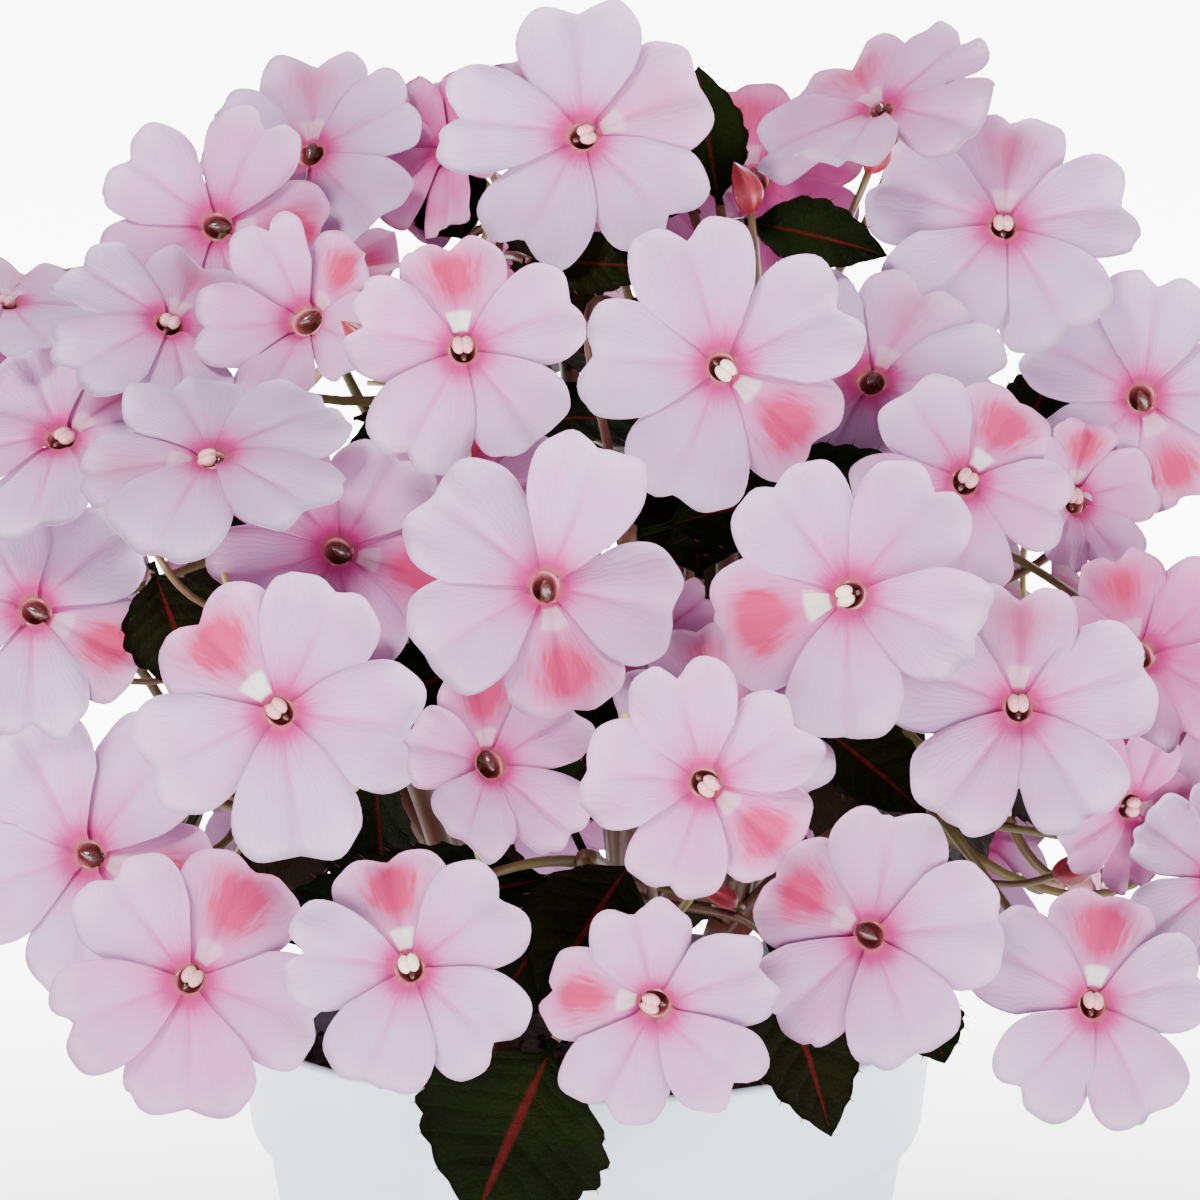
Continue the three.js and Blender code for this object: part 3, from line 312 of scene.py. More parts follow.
DARK, CREAM, PINK = Heart.DARK, Heart.CREAM, Heart.PINK
BLOOMS = (
    Bloom((583, 137), 42, -8, 16, 65, 29, tone=0.14, mark=0.15, heart=PINK),
    Bloom((312, 155), 8, -25, 26, 350, 26.5, bend=20, tone=0.12, mark=0.25, heart=DARK),
    Bloom((217, 227), 24, -15, 14, 95, 25.5, tone=0.3, mark=0.9, heart=DARK),
    Bloom((366, 186), -16, 40, 28, 20, 21, cup=28, tone=0.62, mark=0.6, heart=DARK),
    Bloom((452, 150), -2, -48, 12, 20, 18.5, cup=10, tone=0.7, mark=0.5, heart=DARK),
    Bloom((4, 306), 12, 10, 62, 10, 24.5, tone=0.1, mark=0.2, heart=PINK),
    Bloom((38, 368), 38, -6, 48, 350, 25.5, tone=0.12, mark=0.3, heart=DARK),
    Bloom((168, 326), 42, 8, 38, 20, 24.5, tone=0.16, mark=0.3, heart=PINK),
    Bloom((308, 322), 46, -32, 16, 50, 22, cup=24, tone=0.28, mark=0.8, heart=DARK),
    Bloom((212, 460), 82, -3, 50, 275, 29, tone=0.1, mark=0.2, heart=PINK),
    Bloom((62, 440), 52, -22, 36, 40, 24.5, tone=0.2, mark=0.3, heart=PINK),
    Bloom((35, 612), 66, -12, 20, 115, 26.5, tone=0.12, mark=0.8, heart=DARK),
    Bloom((463, 350), 84, 3, 6, 355, 24, tone=0.3, mark=0.8, pale=0.9, heart=PINK),
    Bloom((722, 368), 78, 2, 12, 130, 29, tone=0.14, mark=0.9, pale=0.5, heart=CREAM),
    Bloom((882, 112), 2, -30, 44, 330, 27, bend=18, tone=0.26, mark=0.5, heart=DARK),
    Bloom((1003, 228), 26, 6, 22, 5, 28, tone=0.14, mark=0.35, heart=PINK),
    Bloom((872, 383), 52, -12, 26, 20, 28, cup=10, tone=0.08, mark=0.2, heart=DARK),
    Bloom((1141, 398), 36, 8, 10, 155, 25.5, tone=0.06, mark=0.7, heart=DARK),
    Bloom((965, 482), 74, 10, 6, 38, 23, tone=0.26, mark=1.0, pale=0.7, heart=PINK),
    Bloom((850, 595), 114, -4, 8, 255, 29.5, bend=26, tone=0.2, mark=0.9, pale=0.8, heart=CREAM),
    Bloom((1018, 708), 102, 8, 2, 0, 27.5, tone=0.22, mark=0.35, heart=PINK),
    Bloom((1140, 655), 64, 18, 16, 345, 24.5, cup=20, tone=0.62, mark=0.6, heart=DARK),
    Bloom((1205, 705), 46, 30, 8, 250, 29, tone=0.32, mark=0.95, heart=PINK),
    Bloom((1214, 880), 62, 24, 0, 20, 21, tone=0.2, mark=0.3, heart=PINK),
    Bloom((1092, 1005), 96, 18, -4, 8, 25.5, tone=0.2, mark=1.0, pale=0.8, heart=PINK),
    Bloom((870, 935), 112, 6, -8, 300, 25.5, tone=0.24, mark=0.85, heart=DARK),
    Bloom((705, 783), 138, 0, 0, 130, 23, cup=6, tone=0.3, mark=1.0, heart=PINK),
    Bloom((722, 724), 110, 4, 14, 345, 23, tone=0.24, mark=0.4, heart=PINK),
    Bloom((545, 588), 110, 8, 14, 170, 29, bend=22, tone=0.18, mark=0.9, heart=DARK),
    Bloom((338, 552), 92, 0, 26, 105, 26.5, tone=0.4, mark=1.0, heart=DARK),
    Bloom((478, 500), 74, 4, 32, 0, 20.5, tone=0.45, mark=0.6, heart=DARK),
    Bloom((645, 645), 88, 16, 12, 200, 16, cup=34, tone=0.5, mark=0.5, heart=PINK),
    Bloom((489, 765), 116, 20, 8, 350, 21, cup=20, tone=0.34, mark=1.0, heart=DARK),
    Bloom((280, 712), 120, -2, 2, 315, 29.5, tone=0.16, mark=0.9, pale=0.9, heart=PINK),
    Bloom((90, 855), 78, -30, 2, 110, 30.5, tone=0.24, mark=0.9, heart=DARK),
    Bloom((190, 980), 104, -8, -6, 35, 29, tone=0.3, mark=1.0, heart=PINK),
    Bloom((410, 968), 122, -2, -4, 345, 25, tone=0.18, mark=0.9, pale=0.7, heart=CREAM),
    Bloom((655, 1003), 116, 2, -26, 280, 24.5, cup=10, tone=0.24, mark=0.9, pale=0.5, heart=PINK),
    Bloom((640, 178), 6, 16, 2, 30, 21, cup=16, tone=0.62, mark=0.5, heart=DARK),
    Bloom((756, 180), -12, 6, 18, 350, 23, tone=0.7, mark=0.5, heart=DARK),
    Bloom((1072, 500), 40, 34, 4, 10, 17, cup=20, tone=0.4, mark=0.9, heart=PINK),
    Bloom((1128, 806), 66, 36, -10, 100, 17, tone=0.6, mark=0.6, heart=PINK),
    Bloom((-22, 752), 36, -40, 6, 20, 20.5, tone=0.4, mark=0.5, heart=PINK),
)

# The sprays' blooms on the outer dome: degrees round from the viewer, and degrees above its middle
SPRAYS = (
    ((93, -15), (99, 13)),
    ((126, -17), (130, 11)),
    ((156, -14), (161, 14)),
    ((186, -17), (191, 11)),
    ((217, -14), (222, 14)),
    ((248, -17), (252, 11)),
    ((275, -13), (281, 14)),
    ((110, 37), (147, 38), (122, 62)),
    ((184, 37), (220, 38), (205, 62)),
    ((256, 36), (236, 62)),
)

# Leaves that show between the blooms: base, tip, how far in front of the axis at each, width, roll
SHOWN_LEAVES = (
    ((560, 1030), (470, 1222), (104, 112), 46, 0),
    ((765, 930), (842, 1136), (96, 106), 27, 18),
    ((640, 850), (536, 996), (92, 104), 30, -14),
    ((800, 712), (930, 806), (84, 96), 22, 20),
    ((700, 590), (690, 448), (62, 50), 30, 0),
    ((722, 215), (694, 70), (14, 18), 20, -20),
    ((735, 220), (884, 244), (20, 36), 19, 24),
    ((700, 216), (606, 150), (18, 34), 16, -30),
    ((520, 262), (662, 262), (50, 56), 15, 8),
    ((470, 250), (425, 150), (0, 6), 20, -12),
    ((1010, 450), (1062, 366), (24, 20), 18, 30),
    ((1060, 545), (1112, 486), (44, 40), 14, 22),
    ((915, 985), (948, 1062), (78, 84), 16, 14),
    ((150, 560), (196, 690), (52, 70), 24, -10),
    ((430, 620), (400, 700), (62, 72), 24, -8),
    ((610, 300), (690, 350), (44, 52), 20, 10),
)

# Buds: root in the picture, how far in front of the axis, clock bearing, length
BUDS = (
    ((158, 556), 88, 335, 17),
    ((868, 174), 22, 20, 11),
    ((118, 652), 60, 30, 12),
    ((1052, 876), 74, 65, 13),
    ((738, 905), 92, 290, 9),
    ((752, 214), 32, 340, 13),
    ((372, 358), 66, 320, 11),
)


class Draws:
    """A repeatable row of draws between 0 and 1."""

    MASK = 0xFFFFFFFF
    STRIDE = 0x6D2B79F5
    RANGE = 4294967296

    def __init__(self, seed: int) -> None:
        """Starts the row at a seed."""
        self.state = seed & self.MASK

    def one(self) -> float:
        """The next draw."""
        mask = self.MASK
        self.state = (self.state + self.STRIDE) & mask
        mixed = ((self.state ^ (self.state >> 15)) * (self.state | 1)) & mask
        mixed ^= (mixed + (((mixed ^ (mixed >> 7)) * (mixed | 61)) & mask)) & mask
        return ((mixed ^ (mixed >> 14)) & mask) / self.RANGE

    def spread(self, width: float) -> float:
        """The next draw between minus and plus a width."""
        return (2 * self.one() - 1) * width


def unit(vector: Points) -> Points:
    """The vector at length one."""
    return vector / np.linalg.norm(vector)


def turned(vector: Points, axis: Points, angle: float) -> Points:
    """The vector turned about a unit axis by an angle in radians."""
    across = np.cross(axis, vector)
    along = axis * np.dot(axis, vector)
    return along + (vector - along) * math.cos(angle) + across * math.sin(angle)


def sight_point(at: Sequence[float], near: float) -> Points:
    """The point on the line of sight through a picture position, this far in front of the axis."""
    ray = AHEAD * VIEW_DISTANCE
    ray = ray + RIGHTWARD * (at[0] - PICTURE_MIDDLE) * MM_PER_PIXEL
    ray = ray + UPWARD * (PICTURE_MIDDLE - at[1]) * MM_PER_PIXEL
    return VIEWER + ray * ((-near - VIEWER[1]) / ray[1])


def dome_point(bearing: float, rise: float, radius: float, stretch: float = 1.0) -> Points:
    """A point of the dome round the plant's middle, taller than wide above the middle."""
    turn, climb = math.radians(bearing), math.radians(rise)
    level = radius * math.cos(climb)
    height = DOME_MIDDLE + radius * math.sin(climb) * (stretch if rise > 0 else 1.0)
    return np.array((level * math.sin(turn), -level * math.cos(turn), height))


@dataclass(frozen=True)
class Frame:
    """A place with its side, crown and face directions."""

    origin: Points
    basis: Points

    @classmethod
    def of(cls, origin: Points, face: Points, crown_aim: Points) -> Frame:
        """The frame that faces one way with its first petal or tip pointing as near as it can to another."""
        crown = unit(crown_aim - face * np.dot(crown_aim, face))
        return cls(origin, np.stack((np.cross(crown, face), crown, face), axis=1))

    def world(self, points: Points | Sequence[float]) -> Points:
        """Local points in the row frame."""
        return np.asarray(points, float) @ self.basis.T + self.origin

    @property
    def face(self) -> Points:
        """The way it faces."""
        return self.basis[:, 2]


@dataclass(frozen=True)
class Curve:
    """A Bezier curve of any degree."""

    controls: tuple[Points, ...]

    def points(self, along: Points | float) -> Points:
        """Its points at values of its parameter between 0 and 1."""
        share = np.atleast_1d(np.asarray(along, float))[:, None]
        degree = len(self.controls) - 1
        total = np.zeros((len(share), 3))
        for k, control in enumerate(self.controls):
            weight = math.comb(degree, k) * share**k * (1 - share) ** (degree - k)
            total = total + weight * control
        return total

    def at(self, along: float) -> Points:
        """One point."""
        return self.points(along)[0]


class Shape:
    """A mesh under construction: vertices in millimetres, faces, finishes and values for the materials."""

    NAMES = ("along", "across", "tone", "mark", "pale", "under", "seed")

    def __init__(self, name: str, finishes: Sequence[bpy.types.Material]) -> None:
        """Starts an empty mesh with its materials."""
        self.name = name
        self.finishes = list(finishes)
        self.count = 0
        self.points: list[Points] = []
        self.faces: list[Points] = []
        self.slots: list[Points] = []
        self.values: dict[str, list[Points]] = {key: [] for key in self.NAMES}

    def add(self, points: Points, faces: Iterable[Points], finish: int = 0, **values: Points | float) -> None:
        """Adds vertices and faces.

        Args:
            points: vertices in the row frame, in millimetres.
            faces: arrays of faces, each with one count of corners.
            finish: which of the materials they take.
            values: numbers for the materials, one for all or one for each vertex.
        """
        for group in faces:
            self.faces.append(np.asarray(group, int) + self.count)
            self.slots.append(np.full(len(group), finish))
        self.points.append(points)
        for key, rows in self.values.items():
            rows.append(np.broadcast_to(np.asarray(values.get(key, 0.0), float), (len(points),)))
        self.count += len(points)

    def build(self) -> bpy.types.Object:
        """Makes the object, smooth shaded, and links it to the scene."""
        mesh = bpy.data.meshes.new(self.name)
        corners = np.concatenate([group.ravel() for group in self.faces])
        sizes = np.concatenate([np.full(len(group), group.shape[1]) for group in self.faces])
        mesh.vertices.add(self.count)
        mesh.vertices.foreach_set("co", (np.concatenate(self.points) * MM).ravel())
        mesh.loops.add(len(corners))
        mesh.loops.foreach_set("vertex_index", corners)
        mesh.polygons.add(len(sizes))
        mesh.polygons.foreach_set("loop_start", np.concatenate(((0,), np.cumsum(sizes)[:-1])))
        mesh.polygons.foreach_set("loop_total", sizes)
        mesh.polygons.foreach_set("material_index", np.concatenate(self.slots))
        mesh.polygons.foreach_set("use_smooth", np.ones(len(sizes), bool))
        for key, rows in self.values.items():
            layer = mesh.attributes.new(key, "FLOAT", "POINT")
            layer.data.foreach_set("value", np.concatenate(rows))
        for finish in self.finishes:
            mesh.materials.append(finish)
        mesh.update()
        mesh.validate()
        made = bpy.data.objects.new(self.name, mesh)
        bpy.context.collection.objects.link(made)
        return made


def grid_faces(rows: int, columns: int, closed: bool = False) -> Points:
    """Quads of a grid of vertices, whose last column may join the first."""
    index = np.arange(rows * columns).reshape(rows, columns)
    following = np.roll(index, -1, axis=1)
    if not closed:
        index, following = index[:, :-1], following[:, :-1]
    return np.stack((index[:-1], following[:-1], following[1:], index[1:]), axis=-1).reshape(-1, 4)


def closed_faces(rings: int, sides: int) -> list[Points]:
    """Faces of a stack of rings that is closed by two end points, which come after the rings."""
    ring, count = np.arange(sides), rings * sides
    last = count - sides
    low = np.stack((np.roll(ring, -1), ring, np.full(sides, count)), axis=1)
    high = np.stack((last + ring, last + np.roll(ring, -1), np.full(sides, count + 1)), axis=1)
    return [grid_faces(rings, sides, closed=True), low, high]


def tube(curve: Curve, radii: Sequence[float], rings: int, sides: int) -> tuple[Points, list[Points]]:
    """A closed tapered tube along a curve.

    Args:
        curve: its middle line.
        radii: radii at even steps along it.
        rings: rings of vertices.
        sides: vertices in a ring.

    Returns:
        The vertices and the groups of faces.
    """
    share = np.linspace(0, 1, rings)
    centres = curve.points(share)
    aims = np.gradient(centres, axis=0)
    aims /= np.linalg.norm(aims, axis=1)[:, None]
    radius = np.interp(share, np.linspace(0, 1, len(radii)), radii)
    side = unit(np.cross(aims[0], SKYWARD if abs(aims[0][2]) < 0.9 else RIGHTWARD))
    angles = np.arange(sides) * TAU / sides
    rows = []
    for centre, aim, size in zip(centres, aims, radius):
        side = unit(side - aim * np.dot(side, aim))
        over = np.cross(aim, side)
        rows.append(centre + size * (np.cos(angles)[:, None] * side + np.sin(angles)[:, None] * over))
    points = np.concatenate(rows + [centres[:1], centres[-1:]])
    return points, closed_faces(rings, sides)


def blade(middle: Points, thickness: Points) -> tuple[Points, list[Points]]:
    """A closed thin sheet round a grid of middle points.

    Args:
        middle: the grid, rows by columns by three.
        thickness: the sheet's thickness at each grid point.

    Returns:
        The vertices, upper sheet first, and the groups of faces.
    """
    rows, columns = middle.shape[:2]
    normal = np.cross(np.gradient(middle, axis=1), np.gradient(middle, axis=0))
    normal /= np.maximum(np.linalg.norm(normal, axis=2), 1e-9)[..., None]
    offset = normal * thickness[..., None] / 2
    count = rows * columns
    points = np.concatenate(((middle + offset).reshape(-1, 3), (middle - offset).reshape(-1, 3)))
    upper = grid_faces(rows, columns)
    index = np.arange(count).reshape(rows, columns)
    border = np.concatenate((index[0, :-1], index[:-1, -1], index[-1, :0:-1], index[:0:-1, 0]))
    after = np.roll(border, -1)
    wall = np.stack((border, border + count, after + count, after), axis=1)
    return points, [upper, upper[:, ::-1] + count, wall[:, ::-1]]


def ball(radii: Sequence[float], rings: int = 8, sides: int = 12) -> tuple[Points, list[Points]]:
    """A closed egg of three radii about the origin, with its axis along Z."""
    polar = np.linspace(0, math.pi, rings + 1)[1:-1, None]
    turn = np.arange(sides)[None, :] * TAU / sides
    body = np.stack((
        radii[0] * np.sin(polar) * np.cos(turn),
        radii[1] * np.sin(polar) * np.sin(turn),
        -radii[2] * np.cos(polar) * np.ones_like(turn),
    ), axis=-1).reshape(-1, 3)
    points = np.concatenate((body, ((0, 0, -radii[2]), (0, 0, radii[2]))))
    return points, closed_faces(rings - 1, sides)


def smooth(low: float, high: float, value: Points) -> Points:
    """A smooth step from 0 to 1 between two values."""
    share = np.clip((value - low) / (high - low), 0, 1)
    return share * share * (3 - 2 * share)


class Wire:
    """One output of a shader node, with arithmetic."""

    def __init__(self, tree: bpy.types.NodeTree, socket: bpy.types.NodeSocket) -> None:
        """Keeps the tree and the output."""
        self.tree = tree
        self.socket = socket

    def _math(self, operation: str, *inputs: Wire | float, clamp: bool = False) -> Wire:
        """Adds a Math node."""
        node = self.tree.nodes.new("ShaderNodeMath")
        node.operation = operation
        node.use_clamp = clamp
        for slot, value in zip(node.inputs, inputs):
            if isinstance(value, Wire):
                self.tree.links.new(value.socket, slot)
            else:
                slot.default_value = value
        return Wire(self.tree, node.outputs[0])

    def __add__(self, other: Wire | float) -> Wire:
        """Sum."""
        return self._math("ADD", self, other)

    __radd__ = __add__

    def __sub__(self, other: Wire | float) -> Wire:
        """Difference."""
        return self._math("SUBTRACT", self, other)

    def __rsub__(self, other: float) -> Wire:
        """Difference from a number."""
        return self._math("SUBTRACT", other, self)

    def __mul__(self, other: Wire | float) -> Wire:
        """Product."""
        return self._math("MULTIPLY", self, other)

    __rmul__ = __mul__

    def __truediv__(self, other: Wire | float) -> Wire:
        """Quotient."""
        return self._math("DIVIDE", self, other)

    def __pow__(self, other: float) -> Wire:
        """Power."""
        return self._math("POWER", self, other)

    def size(self) -> Wire:
        """Its size without its sign."""
        return self._math("ABSOLUTE", self)

    def sine(self) -> Wire:
        """Its sine."""
        return self._math("SINE", self)

    def clamped(self) -> Wire:
        """Held between 0 and 1."""
        return self._math("ADD", self, 0.0, clamp=True)

    def step(self, low: Wire | float, high: Wire | float) -> Wire:
        """A smooth step from 0 to 1 between two values, which may run downwards."""
        span = high - low
        share = ((self - low) / span).clamped()
        return share * share * (3.0 - 2.0 * share)


class Finish:
    """A material under construction."""

    def __init__(self, name: str) -> None:
        """Starts a material with an empty tree."""
        self.material = bpy.data.materials.new(name)
        self.material.use_nodes = True
        self.tree = self.material.node_tree
        self.tree.nodes.clear()
        self.output = self.tree.nodes.new("ShaderNodeOutputMaterial")

    def node(self, kind: str, inputs: dict[str, object] | None = None, **settings: object) -> bpy.types.Node:
        """Makes a node, sets its properties, and fills its inputs with wires or plain values."""
        made = self.tree.nodes.new(kind)
        for key, value in settings.items():
            setattr(made, key, value)
        for key, value in (inputs or {}).items():
            slot = made.inputs[key]
            if isinstance(value, Wire):
                self.tree.links.new(value.socket, slot)
            else:
                slot.default_value = value
        return made

    def value(self, name: str) -> Wire:
        """A number that the piece carries at each vertex."""
        return Wire(self.tree, self.node("ShaderNodeAttribute", attribute_name=name).outputs["Fac"])

    def place(self) -> Wire:
        """The place in the row frame."""
        return Wire(self.tree, self.node("ShaderNodeTexCoord").outputs["Object"])

    def vector(self, x: Wire | float, y: Wire | float, z: Wire | float) -> Wire:
        """A vector of three numbers."""
        made = self.node("ShaderNodeCombineXYZ", {"X": x, "Y": y, "Z": z})
        return Wire(self.tree, made.outputs[0])

    def noise(self, vector: Wire, scale: float, detail: float = 2.0, rough: float = 0.5) -> Wire:
        """Noise between about 0 and 1."""
        inputs = {"Vector": vector, "Scale": scale, "Detail": detail, "Roughness": rough}
        return Wire(self.tree, self.node("ShaderNodeTexNoise", inputs).outputs["Fac"])

    def mix(self, share: Wire | float, low: Wire | Colour, high: Wire | Colour) -> Wire:
        """A colour between two colours."""
        made = self.node("ShaderNodeMix", data_type="RGBA", clamp_factor=True)
        for slot, value in ((made.inputs[0], share), (made.inputs[6], low), (made.inputs[7], high)):
            if isinstance(value, Wire):
                self.tree.links.new(value.socket, slot)
            else:
                slot.default_value = value if isinstance(value, (int, float)) else (*value, 1.0)
        return Wire(self.tree, made.outputs[2])

    def bump(self, height: Wire, distance: float, strength: float = 1.0) -> Wire:
        """A bumped normal; distance is in metres."""
        made = self.node("ShaderNodeBump", {"Height": height, "Distance": distance, "Strength": strength})
        return Wire(self.tree, made.outputs[0])

    def close(
        self, inputs: dict[str, object], through: Colour | None = None, share: float = 0.0,
    ) -> bpy.types.Material:
        """Ends the tree in a Principled shader, which a share of light may pass through."""
        shader = self.node("ShaderNodeBsdfPrincipled", inputs)
        surface = shader.outputs[0]
        if through is not None:
            lit = self.node("ShaderNodeBsdfTranslucent", {"Color": (*through, 1.0)})
            mixed = self.node("ShaderNodeMixShader", {"Fac": share})
            self.tree.links.new(surface, mixed.inputs[1])
            self.tree.links.new(lit.outputs[0], mixed.inputs[2])
            surface = mixed.outputs[0]
        self.tree.links.new(surface, self.output.inputs["Surface"])
        return self.material


@dataclass(frozen=True)
class PetalFinish:
    """Thin velvety petals: pale, with a magenta eye, fine veins and the crown petal's red mark."""

    pale: Colour = (0.47, 0.315, 0.53)
    blush: Colour = (0.52, 0.21, 0.43)
    pink: Colour = (0.50, 0.045, 0.23)
    eye: Colour = (0.40, 0.002, 0.14)
    mark: Colour = (0.43, 0.004, 0.034)
    patch: Colour = (0.74, 0.74, 0.68)
    rim: Colour = (0.64, 0.52, 0.66)
    tube: Colour = (0.34, 0.07, 0.09)
    through: Colour = (0.45, 0.21, 0.40)

    def make(self) -> bpy.types.Material:
        """Makes the material."""
        f = Finish("petal")
        along, across = f.value("along"), f.value("across")
        tone, seed = f.value("tone"), f.value("seed")
        fan = f.vector(across * 5.0, along * 1.6, seed)
        streaks = f.noise(fan, 2.4, 3.0, 0.6)
        broad = f.noise(f.vector(across * 1.2, along * 1.6, seed + 20.0), 1.5, 2.0)
        fine = f.noise(f.vector(across * 26.0, along * 1.4, seed + 40.0), 1.6, 2.0)
        wobble = f.noise(f.vector(across * 2.0, along * 5.0, seed + 60.0), 1.4, 1.0)
        lines = (across * 30.0 + wobble * 7.0).sine().size() ** 0.35
        depth = (tone * 1.1 + (broad - 0.5) * 0.55).clamped()
        colour = f.mix(depth.step(0.0, 0.5), self.pale, self.blush)
        colour = f.mix(depth.step(0.45, 1.0), colour, self.pink)
        colour = f.mix(along.step(0.7, 1.04) * 0.3, colour, self.rim)
        colour = f.mix((1.0 - lines) * 0.12, colour, self.blush)
        crease = (1.0 - across.size().step(0.0, 0.14)) * along.step(1.0, 0.2)
        colour = f.mix(crease * 0.45, colour, self.pink)
        reach = 0.14 + streaks * 0.34
        glow = along.step(reach + 0.26, 0.02)
        colour = f.mix(glow * 0.62, colour, self.pink)
        heart = along.step(reach * 0.85, 0.03)
        colour = f.mix(heart, colour, self.eye)
        side = (across.size() + (streaks - 0.5) * 0.7).step(0.7, 0.0)
        stain = side * along.step(0.22, 0.6) * along.step(1.02, 0.7)
        strong = (stain * f.value("mark") * (1.2 + fine * 0.9)).clamped()
        colour = f.mix(strong, colour, self.mark)
        wide = (across.size() + (broad - 0.5) * 0.5).step(1.0, 0.1) * along.step(0.1, 0.5)
        colour = f.mix((wide * f.value("mark") * 0.45).clamped(), colour, self.pink)
        bare = (across.size() + (streaks - 0.5) * 0.3).step(0.5, 0.36) * along.step(0.05, 0.09)
        bare = bare * along.step(0.30, 0.24)
        colour = f.mix(bare * f.value("pale"), colour, self.patch)
        colour = f.mix(f.value("under") * 0.25, colour, self.pink)
        colour = f.mix(along.step(0.07, 0.01) * 0.85, colour, self.tube)
        grain = f.noise(f.place(), 2400.0, 2.0, 0.6)
        normal = f.bump(lines * 0.6 + fine * 0.5 + grain * 0.25, 0.0002, 0.7)
        inputs = {
            "Base Color": colour, "Roughness": 0.6, "Normal": normal, "Specular IOR Level": 0.22,
            "Sheen Weight": 0.12, "Sheen Roughness": 0.4,
        }
        return f.close(inputs, self.through, share=0.2)


@dataclass(frozen=True)
class ThroatFinish:
    """The trumpet: rose inside, darkening towards its bottom as painted shade, yellow-green to pink outside
    along the spur.
    """

    # deep is the lip's rose darkened, painted shade for the bottom of the cup
    deep: Colour = (0.16, 0.030, 0.030)
    lip: Colour = (0.46, 0.12, 0.14)
    green: Colour = (0.42, 0.40, 0.13)
    pink: Colour = (0.72, 0.33, 0.34)
    through: Colour = (0.50, 0.20, 0.20)

    def make(self) -> bpy.types.Material:
        """Makes the material."""
        f = Finish("throat")
        along, under = f.value("along"), f.value("under")
        speck = f.noise(f.place(), 900.0, 2.0)
        # Inside, painted shade: the rose of the lip darkens to deep towards the bottom of the cup
        inner = f.mix(along.step(0.0, 1.0), self.lip, self.deep)
        outer = f.mix((along + (speck - 0.5) * 0.4).clamped(), self.pink, self.green)
        colour = f.mix(under, inner, outer)
        inputs = {"Base Color": colour, "Roughness": 0.42, "Normal": f.bump(speck, 0.0001, 0.4)}
        return f.close(inputs, self.through, share=0.15)


@dataclass(frozen=True)
class HeartFinish:
    """A pollen cap or an ovary."""

    name: str
    base: Colour
    other: Colour
    rough: float
    coat: float = 0.0

    def make(self) -> bpy.types.Material:
        """Makes the material."""
        f = Finish(self.name)
        grain = f.noise(f.place(), 1800.0, 3.0)
        colour = f.mix(grain.step(0.35, 0.7), self.base, self.other)
        inputs = {
            "Base Color": colour, "Roughness": self.rough, "Coat Weight": self.coat,
            "Normal": f.bump(grain, 0.00025, 0.5),
        }
        return f.close(inputs)


@dataclass(frozen=True)
class LeafFinish:
    """Dark bronze-green quilted leaves with a red midrib."""

    dark: Colour = (0.0012, 0.0030, 0.0005)
    light: Colour = (0.0055, 0.010, 0.0012)
    bronze: Colour = (0.006, 0.002, 0.0009)
    rib: Colour = (0.065, 0.005, 0.006)
    back: Colour = (0.026, 0.015, 0.009)
    through: Colour = (0.005, 0.009, 0.001)
    veins: float = 9.0

    def make(self) -> bpy.types.Material:
        """Makes the material."""
        f = Finish("leaf")
        along, across = f.value("along"), f.value("across").size()
        broad = f.noise(f.place(), 45.0, 3.0)
        fine = f.noise(f.place(), 420.0, 4.0, 0.6)
        wave = ((along - across * 0.16) * (self.veins * TAU / 2)).sine().size()
        side_vein = 1.0 - wave.step(0.0, 0.3)
        spots = {"Vector": f.place(), "Scale": 620.0}
        net = f.node("ShaderNodeTexVoronoi", spots, feature="DISTANCE_TO_EDGE")
        cells = Wire(f.tree, net.outputs["Distance"]).step(0.0, 0.12)
        colour = f.mix(broad.step(0.35, 0.7), self.dark, self.light)
        colour = f.mix(f.value("tone") * 0.75, colour, self.bronze)
        colour = f.mix(fine.step(0.55, 0.8) * 0.35, colour, self.light)
        colour = f.mix(side_vein * 0.35, colour, self.light)
        colour = f.mix(across.step(0.9, 1.0) * 0.55, colour, self.bronze)
        rib = across.step(0.075, 0.02)
        colour = f.mix(rib * 0.8, colour, self.rib)
        colour = f.mix(f.value("under") * 0.8, colour, self.back)
        height = cells * 0.35 + wave * 0.9 + fine * 0.25 - rib * 0.6
        rough = 0.42 + broad * 0.18
        inputs = {
            "Base Color": colour, "Roughness": rough, "Normal": f.bump(height, 0.0004, 0.75),
            "Specular IOR Level": 0.02,
        }
        return f.close(inputs, self.through, share=0.06)


@dataclass(frozen=True)
class StemFinish:
    """Fleshy stems and stalks, olive shot with burgundy."""

    olive: Colour = (0.13, 0.125, 0.030)
    burgundy: Colour = (0.10, 0.016, 0.016)
    through: Colour = (0.11, 0.07, 0.022)

    def make(self) -> bpy.types.Material:
        """Makes the material."""
        f = Finish("stem")
        broad = f.noise(f.place(), 60.0, 2.0)
        fine = f.noise(f.place(), 900.0, 3.0)
        blush = (f.value("tone") + (broad - 0.5) * 0.9 + (fine - 0.5) * 0.3).clamped()
        colour = f.mix(blush, self.olive, self.burgundy)
        inputs = {"Base Color": colour, "Roughness": 0.4, "Normal": f.bump(fine, 0.0002, 0.5)}
        return f.close(inputs, self.through, share=0.1)


@dataclass(frozen=True)
class BudFinish:
    """Burgundy buds with paler keels."""

    deep: Colour = (0.13, 0.005, 0.012)
    bright: Colour = (0.30, 0.016, 0.035)

    def make(self) -> bpy.types.Material:
        """Makes the material."""
        f = Finish("bud")
        fine = f.noise(f.place(), 700.0, 3.0)
        share = (f.value("across") * 0.7 + (fine - 0.5) * 0.6 + 0.2).clamped()
        colour = f.mix(share, self.deep, self.bright)
        inputs = {"Base Color": colour, "Roughness": 0.38, "Normal": f.bump(fine, 0.0002, 0.5)}
        return f.close(inputs)


